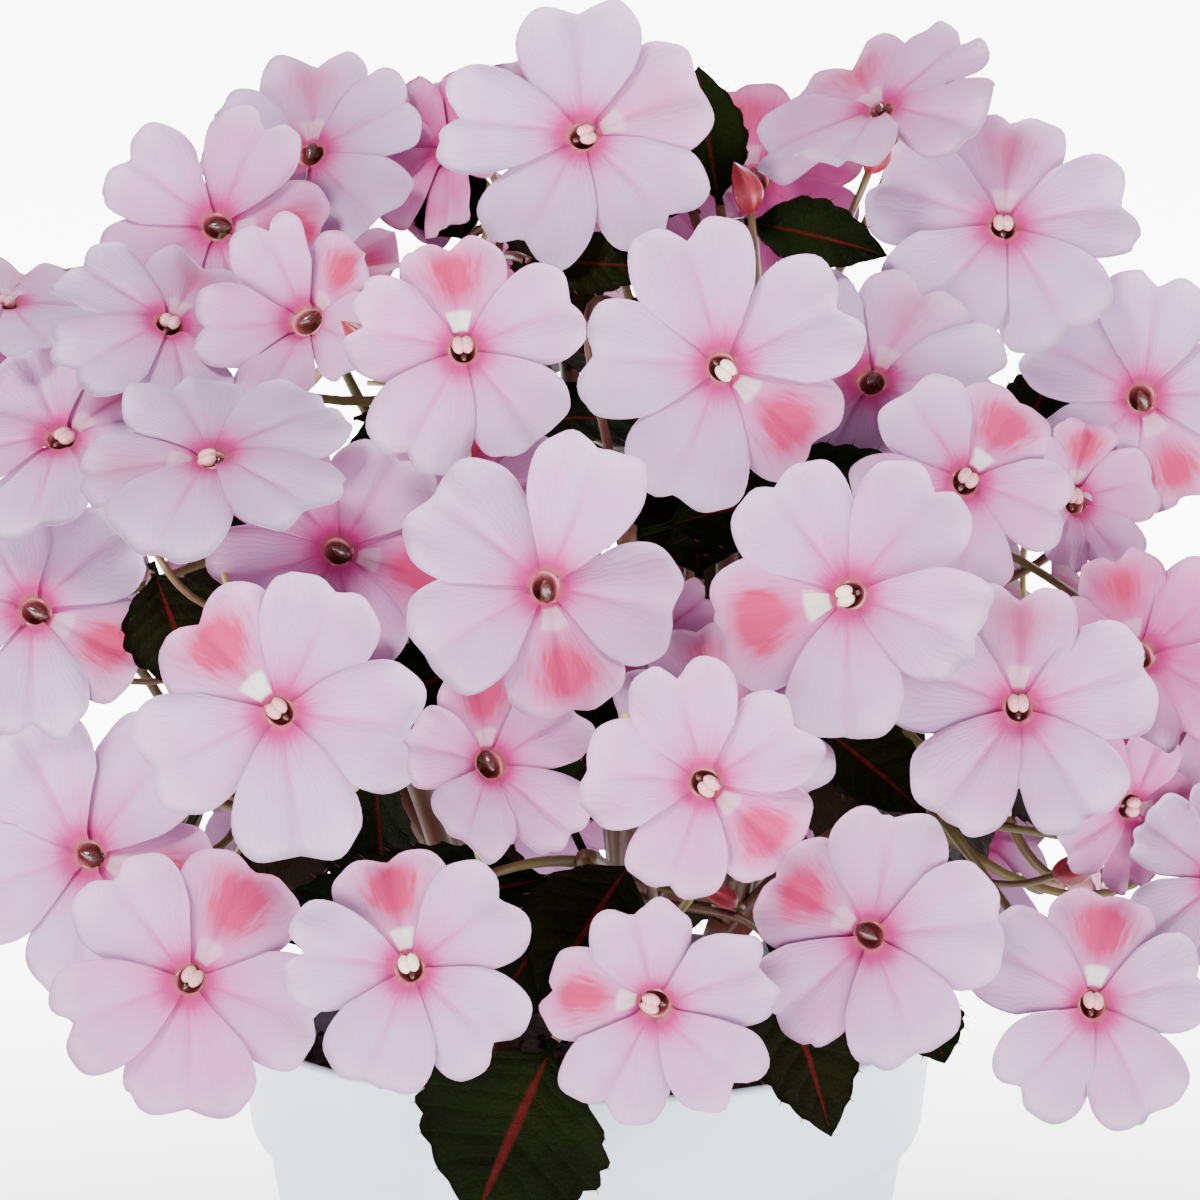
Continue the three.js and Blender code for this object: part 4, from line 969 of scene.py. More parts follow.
@dataclass(frozen=True)
class PotFinish:
    """Pale satin plastic with the fine texture of its mould."""

    base: Colour = (0.61, 0.74, 0.84)
    worn: Colour = (0.66, 0.77, 0.86)

    def make(self) -> bpy.types.Material:
        """Makes the material."""
        f = Finish("pot_plastic")
        cloud = f.noise(f.place(), 22.0, 2.0)
        grain = f.noise(f.place(), 1500.0, 2.0)
        colour = f.mix(cloud, self.base, self.worn)
        rough = 0.36 + cloud * 0.1 + grain * 0.05
        inputs = {
            "Base Color": colour, "Roughness": rough, "Normal": f.bump(grain, 0.00005, 0.3),
            "Specular IOR Level": 0.45,
        }
        return f.close(inputs)


@dataclass(frozen=True)
class PeatFinish:
    """Dark crumbly peat."""

    dark: Colour = (0.012, 0.007, 0.004)
    light: Colour = (0.085, 0.048, 0.028)

    def make(self) -> bpy.types.Material:
        """Makes the material."""
        f = Finish("peat")
        coarse = f.noise(f.place(), 260.0, 5.0, 0.7)
        colour = f.mix(coarse.step(0.35, 0.75), self.dark, self.light)
        inputs = {"Base Color": colour, "Roughness": 0.95, "Normal": f.bump(coarse, 0.0012, 0.9)}
        return f.close(inputs)


@dataclass
class Finishes:
    """All the materials of the plant."""

    petal: bpy.types.Material = field(default_factory=lambda: PetalFinish().make())
    throat: bpy.types.Material = field(default_factory=lambda: ThroatFinish().make())
    cream: bpy.types.Material = field(
        default_factory=lambda: HeartFinish("cream_cap", (0.80, 0.66, 0.50), (0.72, 0.45, 0.38), 0.6).make())
    pink: bpy.types.Material = field(
        default_factory=lambda: HeartFinish("pink_cap", (0.66, 0.34, 0.34), (0.50, 0.16, 0.20), 0.55).make())
    dark: bpy.types.Material = field(
        default_factory=lambda: HeartFinish(
            "ovary", (0.030, 0.010, 0.008), (0.09, 0.022, 0.018), 0.25, 0.5).make())
    leaf: bpy.types.Material = field(default_factory=lambda: LeafFinish().make())
    stem: bpy.types.Material = field(default_factory=lambda: StemFinish().make())
    bud: bpy.types.Material = field(default_factory=lambda: BudFinish().make())
    pot: bpy.types.Material = field(default_factory=lambda: PotFinish().make())
    peat: bpy.types.Material = field(default_factory=lambda: PeatFinish().make())


class Trace:
    """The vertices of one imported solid, to find where its parts were placed."""

    def __init__(self, node: str, nodes: dict[str, bpy.types.Object]) -> None:
        """Reads the solid's vertices in millimetres."""
        mesh = nodes[node].data
        flat = np.empty(len(mesh.vertices) * 3)
        mesh.vertices.foreach_get("co", flat)
        self.points = np.unique(np.round(flat.reshape(-1, 3) / MM, 4), axis=0)

    def hits(self, places: Points, radius: float, tolerance: float = 0.03) -> Points:
        """How many vertices lie at a radius from each place."""
        places = np.atleast_2d(places)
        square = (places**2).sum(1)[:, None] + (self.points**2).sum(1)[None] - 2 * places @ self.points.T
        return (np.abs(np.sqrt(np.maximum(square, 0)) - radius) < tolerance).sum(1)


def shows_leaf(hits: Points) -> bool:
    """Whether a leaf stands here: both faces of its blade at the tip, and at enough of its markers."""
    return bool(hits[0] >= FACE_HITS and (hits >= FACE_HITS).sum() >= MARKERS_NEEDED)


@dataclass
class Petal:
    """One petal's shape, drawn by the same rule as its solid."""

    bearing: float
    length: float
    width: float
    layer: float
    pitch: float
    reach: float
    curl: float
    wave: float
    phase: tuple[float, float]

    def point(self, across: Points, along: Points, rise: Points | float = 0.0) -> Points:
        """Points of its middle surface from flat places in petal lengths, raised by some millimetres."""
        x = across * self.length * self.width
        y = along * self.length + CLAW_OFFSET
        span = np.hypot(x, y)
        out = span / self.reach
        swing = math.radians(self.bearing) + np.arctan2(x, y)
        wave = SLOW_SHARE * np.sin(SLOW_WAVES * swing + self.phase[0])
        wave = wave + QUICK_SHARE * np.sin(QUICK_WAVES * swing + self.phase[1])
        z = self.wave * wave * out**3 - self.curl * self.reach * out**2 + rise
        span = span - CLAW_OFFSET
        radius = CLAW_OFFSET + span * math.cos(self.pitch) - z * math.sin(self.pitch)
        height = span * math.sin(self.pitch) + z * math.cos(self.pitch) + self.layer * LAYER_LIFT
        return np.stack((radius * np.sin(swing), radius * np.cos(swing), height), axis=-1)


def petals_of(reach: float, cup: float, bend: float, seed: int) -> list[Petal]:
    """The five petals of a bloom, with the draws that its solid used."""
    draws = Draws(seed)
    curl = CURL + draws.spread(CURL_SPREAD)
    wave = WAVE + draws.spread(WAVE_SPREAD)
    phase = (draws.one() * TAU, draws.one() * TAU)
    made = []
    for k, (bearing, length, width, layer) in enumerate(PETALS):
        bearing += draws.spread(BEARING_SPREAD)
        length = reach * length * (1 + draws.spread(LENGTH_SPREAD))
        width = width * (1 + draws.spread(WIDTH_SPREAD))
        lean = math.radians(cup + (bend if k == BENT_PETAL else 0)) + layer * LAYER_TILT
        lean = lean + draws.spread(PITCH_SPREAD)
        made.append(Petal(bearing, length, width, layer, lean, reach, curl, wave, phase))
    return made


def spur_curve(bearing: float) -> Curve:
    """The middle line of the trumpet and its spur, in a bloom's own frame."""
    aim = np.array((math.sin(math.radians(bearing)), math.cos(math.radians(bearing)), 0.0))
    bend, end = (
        aim * out * SPUR_LENGTH + SKYWARD * (back * SPUR_LENGTH) for out, back in (SPUR_MIDDLE, SPUR_END)
    )
    return Curve((SKYWARD * SPUR_START, bend, end))


@dataclass
class Flower:
    """One bloom's fine form in its own frame."""

    petals: list[Petal]
    spur: float
    frame: Frame
    tone: float
    mark: float
    pale: float
    heart: Heart
    seed: int
    rows: int = 11
    columns: int = 30
    NOTCH = (0.12, 0.06)
    NOTCH_WIDTH = (0.17, 0.05)
    SHOULDER = (0.5, 0.07)
    LOBE = 0.04
    NICK_PLACE = 0.85
    NICK_DEPTH = 0.05
    NICK_WIDTH = 0.05
    EDGE = 1.06
    EDGE_RIPPLE = (0.012, 0.009)
    EDGE_WAVES = (7, 15)
    SHOULDER_POWER = 4.2
    NOTCH_POWER = 1.6
    MIDRIB_DEPTH = 0.9
    MIDRIB_WIDTH = 0.10
    LOBE_RISE = 1.3
    FRILL = (0.95, 0.35)
    FRILL_WAVES = (9, 17)
    MOUTH_SPAN = 0.16
    SPUR_RADII = (1.7, 1.15, 0.85, 0.7)
    SPUR_RINGS = 10
    SPUR_SIDES = 8
    OVARY = (1.45, 1.5, 2.9)
    POLLEN_CAP = (1.5, 1.55, 2.3)
    STIGMA = (0.8, 0.8, 1.5)
    HEART_LEAN = (58, 10)
    TRUMPET_SIDES = 20
    LIP_ROW = 4

    # Rings of the trumpet: radius, height, how far it follows the petals' claws, and a colour grade: painted
    # shade deepening towards the bottom inside, pink to green outside
    TRUMPET = (
        (0.4, -6.2, 0.0, 1.0), (1.6, -5.2, 0.0, 0.95), (2.4, -3.6, 0.2, 0.7), (2.9, -2.0, 0.7, 0.4),
        (3.3, -1.35, 1.0, 0.1), (3.9, -1.7, 1.0, 0.0), (3.7, -2.6, 0.7, 0.0), (2.9, -4.4, 0.3, 0.1),
        (2.0, -7.0, 0.0, 0.2),
    )

    def add_to(self, shape: Shape) -> None:
        """Adds the petals, the trumpet and what stands in its mouth."""
        for k, petal in enumerate(self.petals):
            self._add_petal(shape, petal, k)
        self._add_trumpet(shape)
        self._add_heart(shape)

    def _add_petal(self, shape: Shape, petal: Petal, k: int) -> None:
        """Adds one petal as a closed sheet with a lobed, notched edge."""
        draws = Draws(PETAL_SEED + 17 * self.seed + k)
        notch, notch_width = (mean + draws.spread(width) for mean, width in (self.NOTCH, self.NOTCH_WIDTH))
        phases = [draws.one() * TAU for _ in range(5)]
        lobe, shoulder = draws.spread(self.LOBE), self.SHOULDER[0] + draws.spread(self.SHOULDER[1])
        nick_at, nick_depth = draws.spread(self.NICK_PLACE), self.NICK_DEPTH * draws.one() ** 2
        share = np.linspace(-1, 1, self.columns + 1)
        share = 0.75 * share + 0.25 * np.sin(share * math.pi / 2)
        depth = np.linspace(0, 1, self.rows + 1) ** 0.9
        a, u = np.meshgrid(share, depth)
        edge = self.EDGE - shoulder * np.abs(a) ** self.SHOULDER_POWER
        edge = edge - notch * np.exp(-((np.abs(a) / notch_width) ** self.NOTCH_POWER))
        (low, high), (few, many) = self.EDGE_RIPPLE, self.EDGE_WAVES
        edge += lobe * a + low * np.sin(few * a + phases[0]) + high * np.sin(many * a + phases[1])
        edge -= nick_depth * np.exp(-(((a - nick_at) / self.NICK_WIDTH) ** 2))
        fan = PETAL_FAN * petal.width / PETAL_FAN_WIDTH * (1 - 0.05 * u + 0.03 * np.sin(3 * u + phases[2]))
        radius = CLAW_OFFSET + u * edge * petal.length
        across = radius * np.sin(a * fan) / (petal.length * petal.width)
        along = (radius * np.cos(a * fan) - CLAW_OFFSET) / petal.length
        groove = -self.MIDRIB_DEPTH * np.exp(-((a / self.MIDRIB_WIDTH) ** 2))
        groove = groove * smooth(0.1, 0.35, u) * (1 - 0.3 * u)
        lobes = self.LOBE_RISE * np.sin(math.pi * np.abs(a)) * u**2 + draws.spread(PETAL_LEAN) * a * u**2
        (low, high), (few, many) = self.FRILL, self.FRILL_WAVES
        ripple = low * u**5 * np.sin(few * a + phases[3]) + high * u**6 * np.sin(many * a + phases[4])
        dip = -MOUTH_DIP * np.clip(1 - u / self.MOUTH_SPAN, 0, 1) ** 2
        rise = groove + lobes + ripple + dip
        middle = petal.point(across, along, rise)
        thick = PETAL_THICK - (PETAL_THICK - PETAL_RIM) * np.maximum(u**4, np.abs(a) ** 10)
        points, faces = blade(middle, thick)
        tone = np.clip(self.tone + draws.spread(0.08) + (0.1 if k == 0 else 0.0), 0, 1)
        count = a.size
        first = k == 0
        shape.add(
            self.frame.world(points), faces, 0,
            along=np.tile((u * edge).ravel(), 2), across=np.tile(a.ravel(), 2), tone=tone,
            mark=self.mark if first else 0.0, pale=self.pale if first else 0.0,
            under=np.repeat((0.0, 1.0), count), seed=self.seed * 3.7 + k * 1.3,
        )

    def _rim_height(self, angle: Points) -> Points:
        """The height of the petals' claws round the mouth."""
        known = np.array([(p.bearing % 360, p.layer * LAYER_LIFT) for p in self.petals])
        known = known[np.argsort(known[:, 0])]
        return np.interp(np.degrees(angle) % 360, known[:, 0], known[:, 1], period=360)

    def _add_trumpet(self, shape: Shape) -> None:
        """Adds the throat and its spur."""
        sides, profile = self.TRUMPET_SIDES, self.TRUMPET
        angle = np.arange(sides) * TAU / sides
        rim = self._rim_height(angle)
        direction = np.stack((np.sin(angle) * 0.92, np.cos(angle) * 1.06), axis=1)
        rows = []
        for radius, height, follow, _ in profile:
            level = height + follow * rim
            rows.append(np.concatenate((direction * radius, level[:, None]), axis=1))
        curve = spur_curve(self.spur)
        spur, spur_faces = tube(curve, self.SPUR_RADII, self.SPUR_RINGS, self.SPUR_SIDES)
        points = np.concatenate((*rows, ((0, 0, profile[0][1]), (0, 0, profile[-1][1] - 1.4))))
        # The fourth column: painted shade inside the cup, pink to green outside
        shade = np.concatenate((np.repeat([row[3] for row in profile], sides), (1.0, 0.3)))
        outer = [float(k > self.LIP_ROW) for k in range(len(profile))]
        outer = np.concatenate((np.repeat(outer, sides), (0.0, 1.0)))
        faces = [group[:, ::-1] for group in closed_faces(len(profile), sides)]
        shape.add(self.frame.world(points), faces, 1, along=shade, under=outer)
        share = np.clip(np.linspace(0.1, 1.1, self.SPUR_RINGS).repeat(self.SPUR_SIDES), 0, 1)
        shape.add(self.frame.world(spur), spur_faces, 1, along=np.concatenate((share, (0.1, 1.0))), under=1.0)

    def _add_heart(self, shape: Shape) -> None:
        """Adds the pollen cap or the ovary."""
        draws = Draws(HEART_SEED + self.seed)
        lift = float(self._rim_height(np.array([0.0]))[0]) - 0.6
        lean = math.radians(self.HEART_LEAN[0] + draws.spread(self.HEART_LEAN[1]))
        cosine, sine = math.cos(lean), math.sin(lean)
        tilt = np.array(((1, 0, 0), (0, cosine, sine), (0, -sine, cosine)))
        if self.heart is Heart.DARK:
            points, faces = ball(self.OVARY)
            taper = 1 - 0.4 * smooth(0.2, self.OVARY[2], points[:, 2])
            points = points * np.stack((taper, taper, np.ones_like(taper)), axis=1)
            shape.add(self.frame.world(points @ tilt + np.array((0, 0.8, lift + 0.9))), faces, 4)
            return
        slot = 2 if self.heart is Heart.CREAM else 3
        for side in (-1, 1):
            points, faces = ball(self.POLLEN_CAP)
            points = points @ tilt + np.array((side * 0.95, 1.1, lift + 1.1))
            shape.add(self.frame.world(points), faces, slot)
        stigma, faces = ball(self.STIGMA)
        shape.add(self.frame.world(stigma @ tilt + np.array((0, -1.4, lift + 0.3))), faces, 4)


def stand_for(made: bpy.types.Object, node: str) -> None:
    """Lets a fine piece ride the one body and take a solid's place."""
    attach(made, "root")
    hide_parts(node)
    LOG.info("%s stands for %s", made.name, node)


def flower_finishes(finishes: Finishes) -> list[bpy.types.Material]:
    """The materials that a flower's faces name."""
    return [finishes.petal, finishes.throat, finishes.cream, finishes.pink, finishes.dark]


def find_spur(frame: Frame, trace: Trace) -> float:
    """The side that a bloom's spur curves to, read from its solid."""
    ends = [frame.world(spur_curve(bearing).at(1.0)) for bearing in SPUR_BEARINGS]
    hits = trace.hits(np.array(ends), SPUR_TIP_RADIUS)
    return float(SPUR_BEARINGS[int(np.argmax(hits))])


@dataclass
class ShownBloom:
    """A bloom that faces the viewer, at its solid's place."""

    bloom: Bloom
    number: int
    frame: Frame
    spur: float

    @property
    def node(self) -> str:
        """Its solid's name."""
        return f"bloom_{self.number + 1:02d}"

    @staticmethod
    def view_frame(bloom: Bloom, near: float) -> Frame:
        """The way a bloom faces, from the viewer's line to it."""
        centre = sight_point(bloom.at, near)
        toward = unit(VIEWER - centre)
        right = unit(np.cross(UPWARD, toward))
        up = np.cross(toward, right)
        turn, lift, crown = (math.radians(v) for v in (bloom.turn, bloom.lift, bloom.crown))
        face = toward * math.cos(lift) * math.cos(turn) + right * math.cos(lift) * math.sin(turn)
        face = unit(face + up * math.sin(lift))
        return Frame.of(centre, face, right * math.sin(crown) + up * math.cos(crown))

    @classmethod
    def settled(cls, bloom: Bloom, number: int, trace: Trace) -> ShownBloom:
        """Finds how far the solid slid along the line of sight."""
        frames = [cls.view_frame(bloom, bloom.near + slide) for slide in SLIDES]
        throats = np.array([frame.world((0, 0, THROAT_DIP)) for frame in frames])
        best = int(np.argmax(trace.hits(throats, 0.0, THROAT_TOLERANCE)))
        return cls(bloom, number, frames[best], find_spur(frames[best], trace))

    def build(self, finishes: Finishes) -> None:
        """Makes the fine bloom and lets it stand for the solid."""
        bloom = self.bloom
        shape = Shape(f"flower_{self.number + 1:02d}", flower_finishes(finishes))
        petals = petals_of(bloom.reach, bloom.cup, bloom.bend, BLOOM_SEED + self.number)
        Flower(petals, self.spur, self.frame, bloom.tone, bloom.mark, bloom.pale, bloom.heart,
               self.number).add_to(shape)
        stand_for(shape.build(), self.node)


@dataclass
class Spray:
    """Two or three blooms on one forked stalk."""

    number: int
    frames: list[Frame]
    spur: float

    @property
    def node(self) -> str:
        """Its solid's name."""
        return f"spray_{self.number + 1:02d}"

    @staticmethod
    def head_frames(number: int, slide: float) -> list[Frame]:
        """The frames of its blooms at a slide out from the dome."""
        draws = Draws(SPRAY_TURN_SEED + number)
        frames = []
        for bearing, rise in SPRAYS[number]:
            centre = dome_point(bearing, rise, OUTER_DOME + slide, OUTER_STRETCH)
            climb = SPRAY_FLATTEN * (centre[2] - DOME_MIDDLE) + SPRAY_LIFT
            face = unit(np.array((centre[0], centre[1], climb)))
            crown = math.radians(draws.spread(180))
            level = unit(np.cross(SKYWARD, face))
            frames.append(Frame.of(centre, face, level * math.sin(crown) + SKYWARD * math.cos(crown)))
        return frames

    @classmethod
    def settled(cls, number: int, trace: Trace) -> Spray:
        """Finds how far the solid slid."""
        choices = [cls.head_frames(number, slide) for slide in SLIDES]
        hits = []
        for frames in choices:
            throats = np.array([frame.world((0, 0, THROAT_DIP)) for frame in frames])
            hits.append(trace.hits(throats, 0.0, THROAT_TOLERANCE).sum())
        frames = choices[int(np.argmax(hits))]
        return cls(number, frames, find_spur(frames[0], trace))

    @property
    def seats(self) -> list[Points]:
        """Where its forks meet the blooms."""
        return [frame.world(FORK_SEAT) for frame in self.frames]

    @property
    def back(self) -> Points:
        """The way its stalk leaves it."""
        return unit(sum(-frame.face for frame in self.frames))

    @property
    def joint(self) -> Points:
        """Where its forks meet."""
        return sum(self.seats) / len(self.frames) + self.back * FORK_DEPTH

    def build(self, finishes: Finishes) -> None:
        """Makes the fine spray and lets it stand for the solid."""
        shape = Shape(f"flower_spray_{self.number + 1:02d}", [*flower_finishes(finishes), finishes.stem])
        for side, frame in enumerate(self.frames):
            seed = SPRAY_SEED + 2 * self.number + side
            draws = Draws(HEAD_SEED + seed)
            petals = petals_of(SPRAY_REACH, 0.0, 0.0, seed)
            heart = (DARK, PINK, CREAM)[int(draws.one() * 3)]
            Flower(petals, self.spur, frame, 0.12 + 0.3 * draws.one() ** 2, draws.one(), draws.one() * 0.8,
                   heart, seed, rows=10, columns=26).add_to(shape)
            bend = frame.world(FORK_SEAT) - frame.face * FORK_BEND
            curve = Curve((frame.world(FORK_START), bend, self.joint))
            points, faces = tube(curve, FORK_RADII, FORK_RINGS, FORK_SIDES)
            shape.add(points, faces, 5, tone=FORK_TONE)
        stand_for(shape.build(), self.node)


@dataclass(frozen=True)
class Leaf:
    """A toothed lance-shaped leaf in its own frame: base at the origin, tip along the crown."""

    length: float
    width: float
    droop: float
    phase: float
    TOOTH_SPACING = 5.5
    LEAST_TEETH = 7
    COLUMNS = 10
    SAW_PEAK = 0.75
    SAW_DEPTH = 0.13
    VEINS = 9
    VEIN_SLANT = 0.16
    QUILT = 0.016
    GROOVE = 0.012
    GROOVE_WIDTH = 0.12
    BLADE_THICK = 0.5
    BLADE_THIN = 0.3
    BRISTLE_RADIUS = 0.22
    BRISTLE_LENGTH = 2.1
    BRISTLE_START = 0.2

    def point(self, across: Points, along: Points) -> Points:
        """Points of its middle surface: across in millimetres, along in leaf lengths."""
        across, along = np.asarray(across, float), np.asarray(along, float)
        swept = np.sin(self.droop * along) / self.droop
        fallen = (1 - np.cos(self.droop * along)) / self.droop
        wave = LEAF_WAVE * self.length * np.sin(LEAF_WAVES * along + self.phase)
        rise = LEAF_FOLD * np.abs(across) + wave * np.abs(across) / (0.5 * self.width)
        y = self.length * swept + rise * np.sin(self.droop * along)
        z = -self.length * fallen + rise * np.cos(self.droop * along)
        return np.stack((across + 0 * y, y, z), axis=-1)

    def half_width(self, along: Points) -> Points:
        """Half its width at shares of its length."""
        share = np.clip((np.asarray(along, float) - LEAF_CLAW) / (1 - LEAF_CLAW), 0, 1)
        return 0.5 * self.width * np.abs(np.sin(math.pi * share**LEAF_BASE_POWER)) ** LEAF_TIP_POWER

    def markers(self) -> Points:
        """Points of the solid leaf's middle surface that show outside other parts."""
        halves = [TOOTH_OUT * float(self.half_width(at)) for at in TOOTH_AT]
        across = [0.0] + [side * half for half in halves for side in (-1, 1)]
        along = [1.0] + [at for at in TOOTH_AT for _ in range(2)]
        return self.point(np.array(across), np.array(along))

    def add_to(self, shape: Shape, frame: Frame, blade_slot: int, bristle_slot: int, seed: int) -> None:
        """Adds the fine blade and its bristles."""
        draws = Draws(LEAF_SEED + seed)
        teeth = max(self.LEAST_TEETH, int(self.length / self.TOOTH_SPACING))
        rows, columns = teeth * 4, self.COLUMNS
        t = np.linspace(0.02, 1.0, rows + 1)
        saw = (t * teeth) % 1.0
        peak = self.SAW_PEAK
        out = 1 + self.SAW_DEPTH * np.where(saw < peak, saw / peak, (1 - saw) / (1 - peak)) - 0.05
        half = np.maximum(self.half_width(t) * out, 0.9 * (1 - t) ** 0.3 * (t < 0.3) + 0.12)
        c = np.linspace(-1, 1, columns + 1)
        cc, tt = np.meshgrid(c, t)
        middle = self.point(cc * half[:, None], tt)
        quilt = np.abs(np.sin((tt - np.abs(cc) * self.VEIN_SLANT) * self.VEINS * math.pi)) - 0.5
        quilt = quilt * (1 - np.abs(cc) ** 4) * smooth(0.1, 0.3, tt) * self.QUILT * self.width
        quilt -= self.GROOVE * self.width * np.exp(-((cc / self.GROOVE_WIDTH) ** 2))
        middle[..., 2] += quilt
        thick = np.full(cc.shape, self.BLADE_THICK) - self.BLADE_THIN * np.abs(cc) ** 6
        points, faces = blade(middle, thick)
        tone = float(np.clip(0.35 + draws.spread(0.35), 0, 1))
        values = {"along": np.tile(tt.ravel(), 2), "across": np.tile(cc.ravel(), 2), "tone": tone,
                  "under": np.repeat((0.0, 1.0), cc.size)}
        shape.add(frame.world(points), faces, blade_slot, **values)
        self._add_bristles(shape, frame, bristle_slot, teeth, half, t)

    def _add_bristles(
        self, shape: Shape, frame: Frame, slot: int, teeth: int, half: Points, t: Points,
    ) -> None:
        """Adds a bristle at the tip of each tooth."""
        tips = [(k + self.SAW_PEAK) / teeth for k in range(1, teeth - 1)]
        ring = np.array([(math.cos(a), math.sin(a)) for a in (0, TAU / 3, 2 * TAU / 3)])
        ring = ring * self.BRISTLE_RADIUS
        for at in tips:
            if at < self.BRISTLE_START:
                continue
            reach = float(np.interp(at, t, half))
            for side in (-1, 1):
                root = self.point(side * (reach - 0.3), at)
                aim = unit(self.point(side * (reach + 1.0), at + 1.2 / self.length) - root)
                over = unit(np.cross(aim, SKYWARD + 0.01))
                across = np.cross(aim, over)
                base = root + ring[:, :1] * over + ring[:, 1:] * across
                points = np.concatenate((base, [root + aim * self.BRISTLE_LENGTH]))
                faces = [np.array(((0, 1, 3), (1, 2, 3), (2, 0, 3), (2, 1, 0)))]
                shape.add(frame.world(points), faces, slot, tone=1.0)


def stem_bearing(k: int) -> float:
    """Where a leafy stem stands round the soil, in degrees."""
    return FIRST_STEM_BEARING + k * 360 / STEM_COUNT


def stem_fork(k: int) -> Points:
    """Where a leafy stem forks."""
    point = dome_point(stem_bearing(k), 0, FORK_RING)
    point[2] = FORK_HEIGHT
    return point


def branch_curve(k: int, tip: tuple[float, float]) -> Curve:
    """The middle line of a branch."""
    fork = stem_fork(k)
    end = dome_point(stem_bearing(k) + tip[0], tip[1], INNER_DOME, INNER_STRETCH)
    middle = fork + (end - fork) * BRANCH_MIDDLE + SKYWARD * BRANCH_BOW
    return Curve((fork - SKYWARD * BRANCH_SINK, middle, end))


def trunk_curve(k: int) -> Curve:
    """The middle line of a stem from its foot to its fork."""
    root = dome_point(stem_bearing(k), 0, STEM_ROOT_RING)
    root[2] = SOIL_TOP - STEM_ROOT_DEPTH + SEAT_GAP
    return Curve((root, root + SKYWARD * STEM_RISE, stem_fork(k)))


def branch_point(curve: Curve, along: float) -> Points:
    """A point of a branch's outer half, which is straight in the solid."""
    middle, end = curve.at(0.5), curve.at(1.0)
    return middle + (end - middle) * (2 * along - 1)


@dataclass
class Route:
    """A stalk that was found in the solids, and the stem that it belongs to."""

    stem: int
    curve: Curve


class Routes:
    """Finds the stalks of the leafy stems again, in the order in which the solids tried them."""

    def __init__(self, traces: list[Trace]) -> None:
        """Lists the places on the branches that a stalk can leave from."""
        self.traces = traces
        self.joins = [
            (stem, branch_point(branch_curve(stem, tip), join))
            for stem in range(STEM_COUNT) for tip in BRANCH_TIPS for join in STALK_JOINS
        ]

    @staticmethod
    def curve(seat: Points, back: Points, join: Points, setback: float, lift: float, swing: float) -> Curve:
        """A stalk from its seat to a branch."""
        length = float(np.linalg.norm(seat - join))
        across = unit(np.cross(back, join - seat))
        bow = across * swing * STALK_BOW * length
        first = seat + back * setback * length + bow + SKYWARD * lift * STALK_BOW * length
        second = join + (seat - join) * STALK_SECOND + bow + SKYWARD * lift * STALK_SECOND_LIFT * length
        return Curve((seat, first, second, join))

    def find(self, seat: Points, back: Points, radius: float, reach: float) -> Route | None:
        """Finds the stalk of one seat.

        Args:
            seat: where the stalk starts.
            back: the way it leaves.
            radius: the solid stalk's radius half way along.
            reach: the longest straight line to a branch that was tried.

        Returns:
            The stalk, or None where the solids hold none.
        """
        near = sorted(self.joins, key=lambda pair: float(np.linalg.norm(pair[1] - seat)))
        near = [pair for pair in near if np.linalg.norm(pair[1] - seat) < reach][:STALK_ROUTES]
        for stem, join in near:
            curves = [
                self.curve(seat, back, join, setback, lift, swing)
                for setback in STALK_SETBACKS for swing in STALK_BENDS for lift in STALK_BENDS
            ]
            controls = np.array([curve.controls for curve in curves])
            middles = (controls[:, 0] + 3 * controls[:, 1] + 3 * controls[:, 2] + controls[:, 3]) / 8
            hits = self.traces[stem].hits(middles, radius)
            top = int(np.argmax(hits))
            if hits[top] >= RING_HITS:
                return Route(stem, curves[top])
        return None


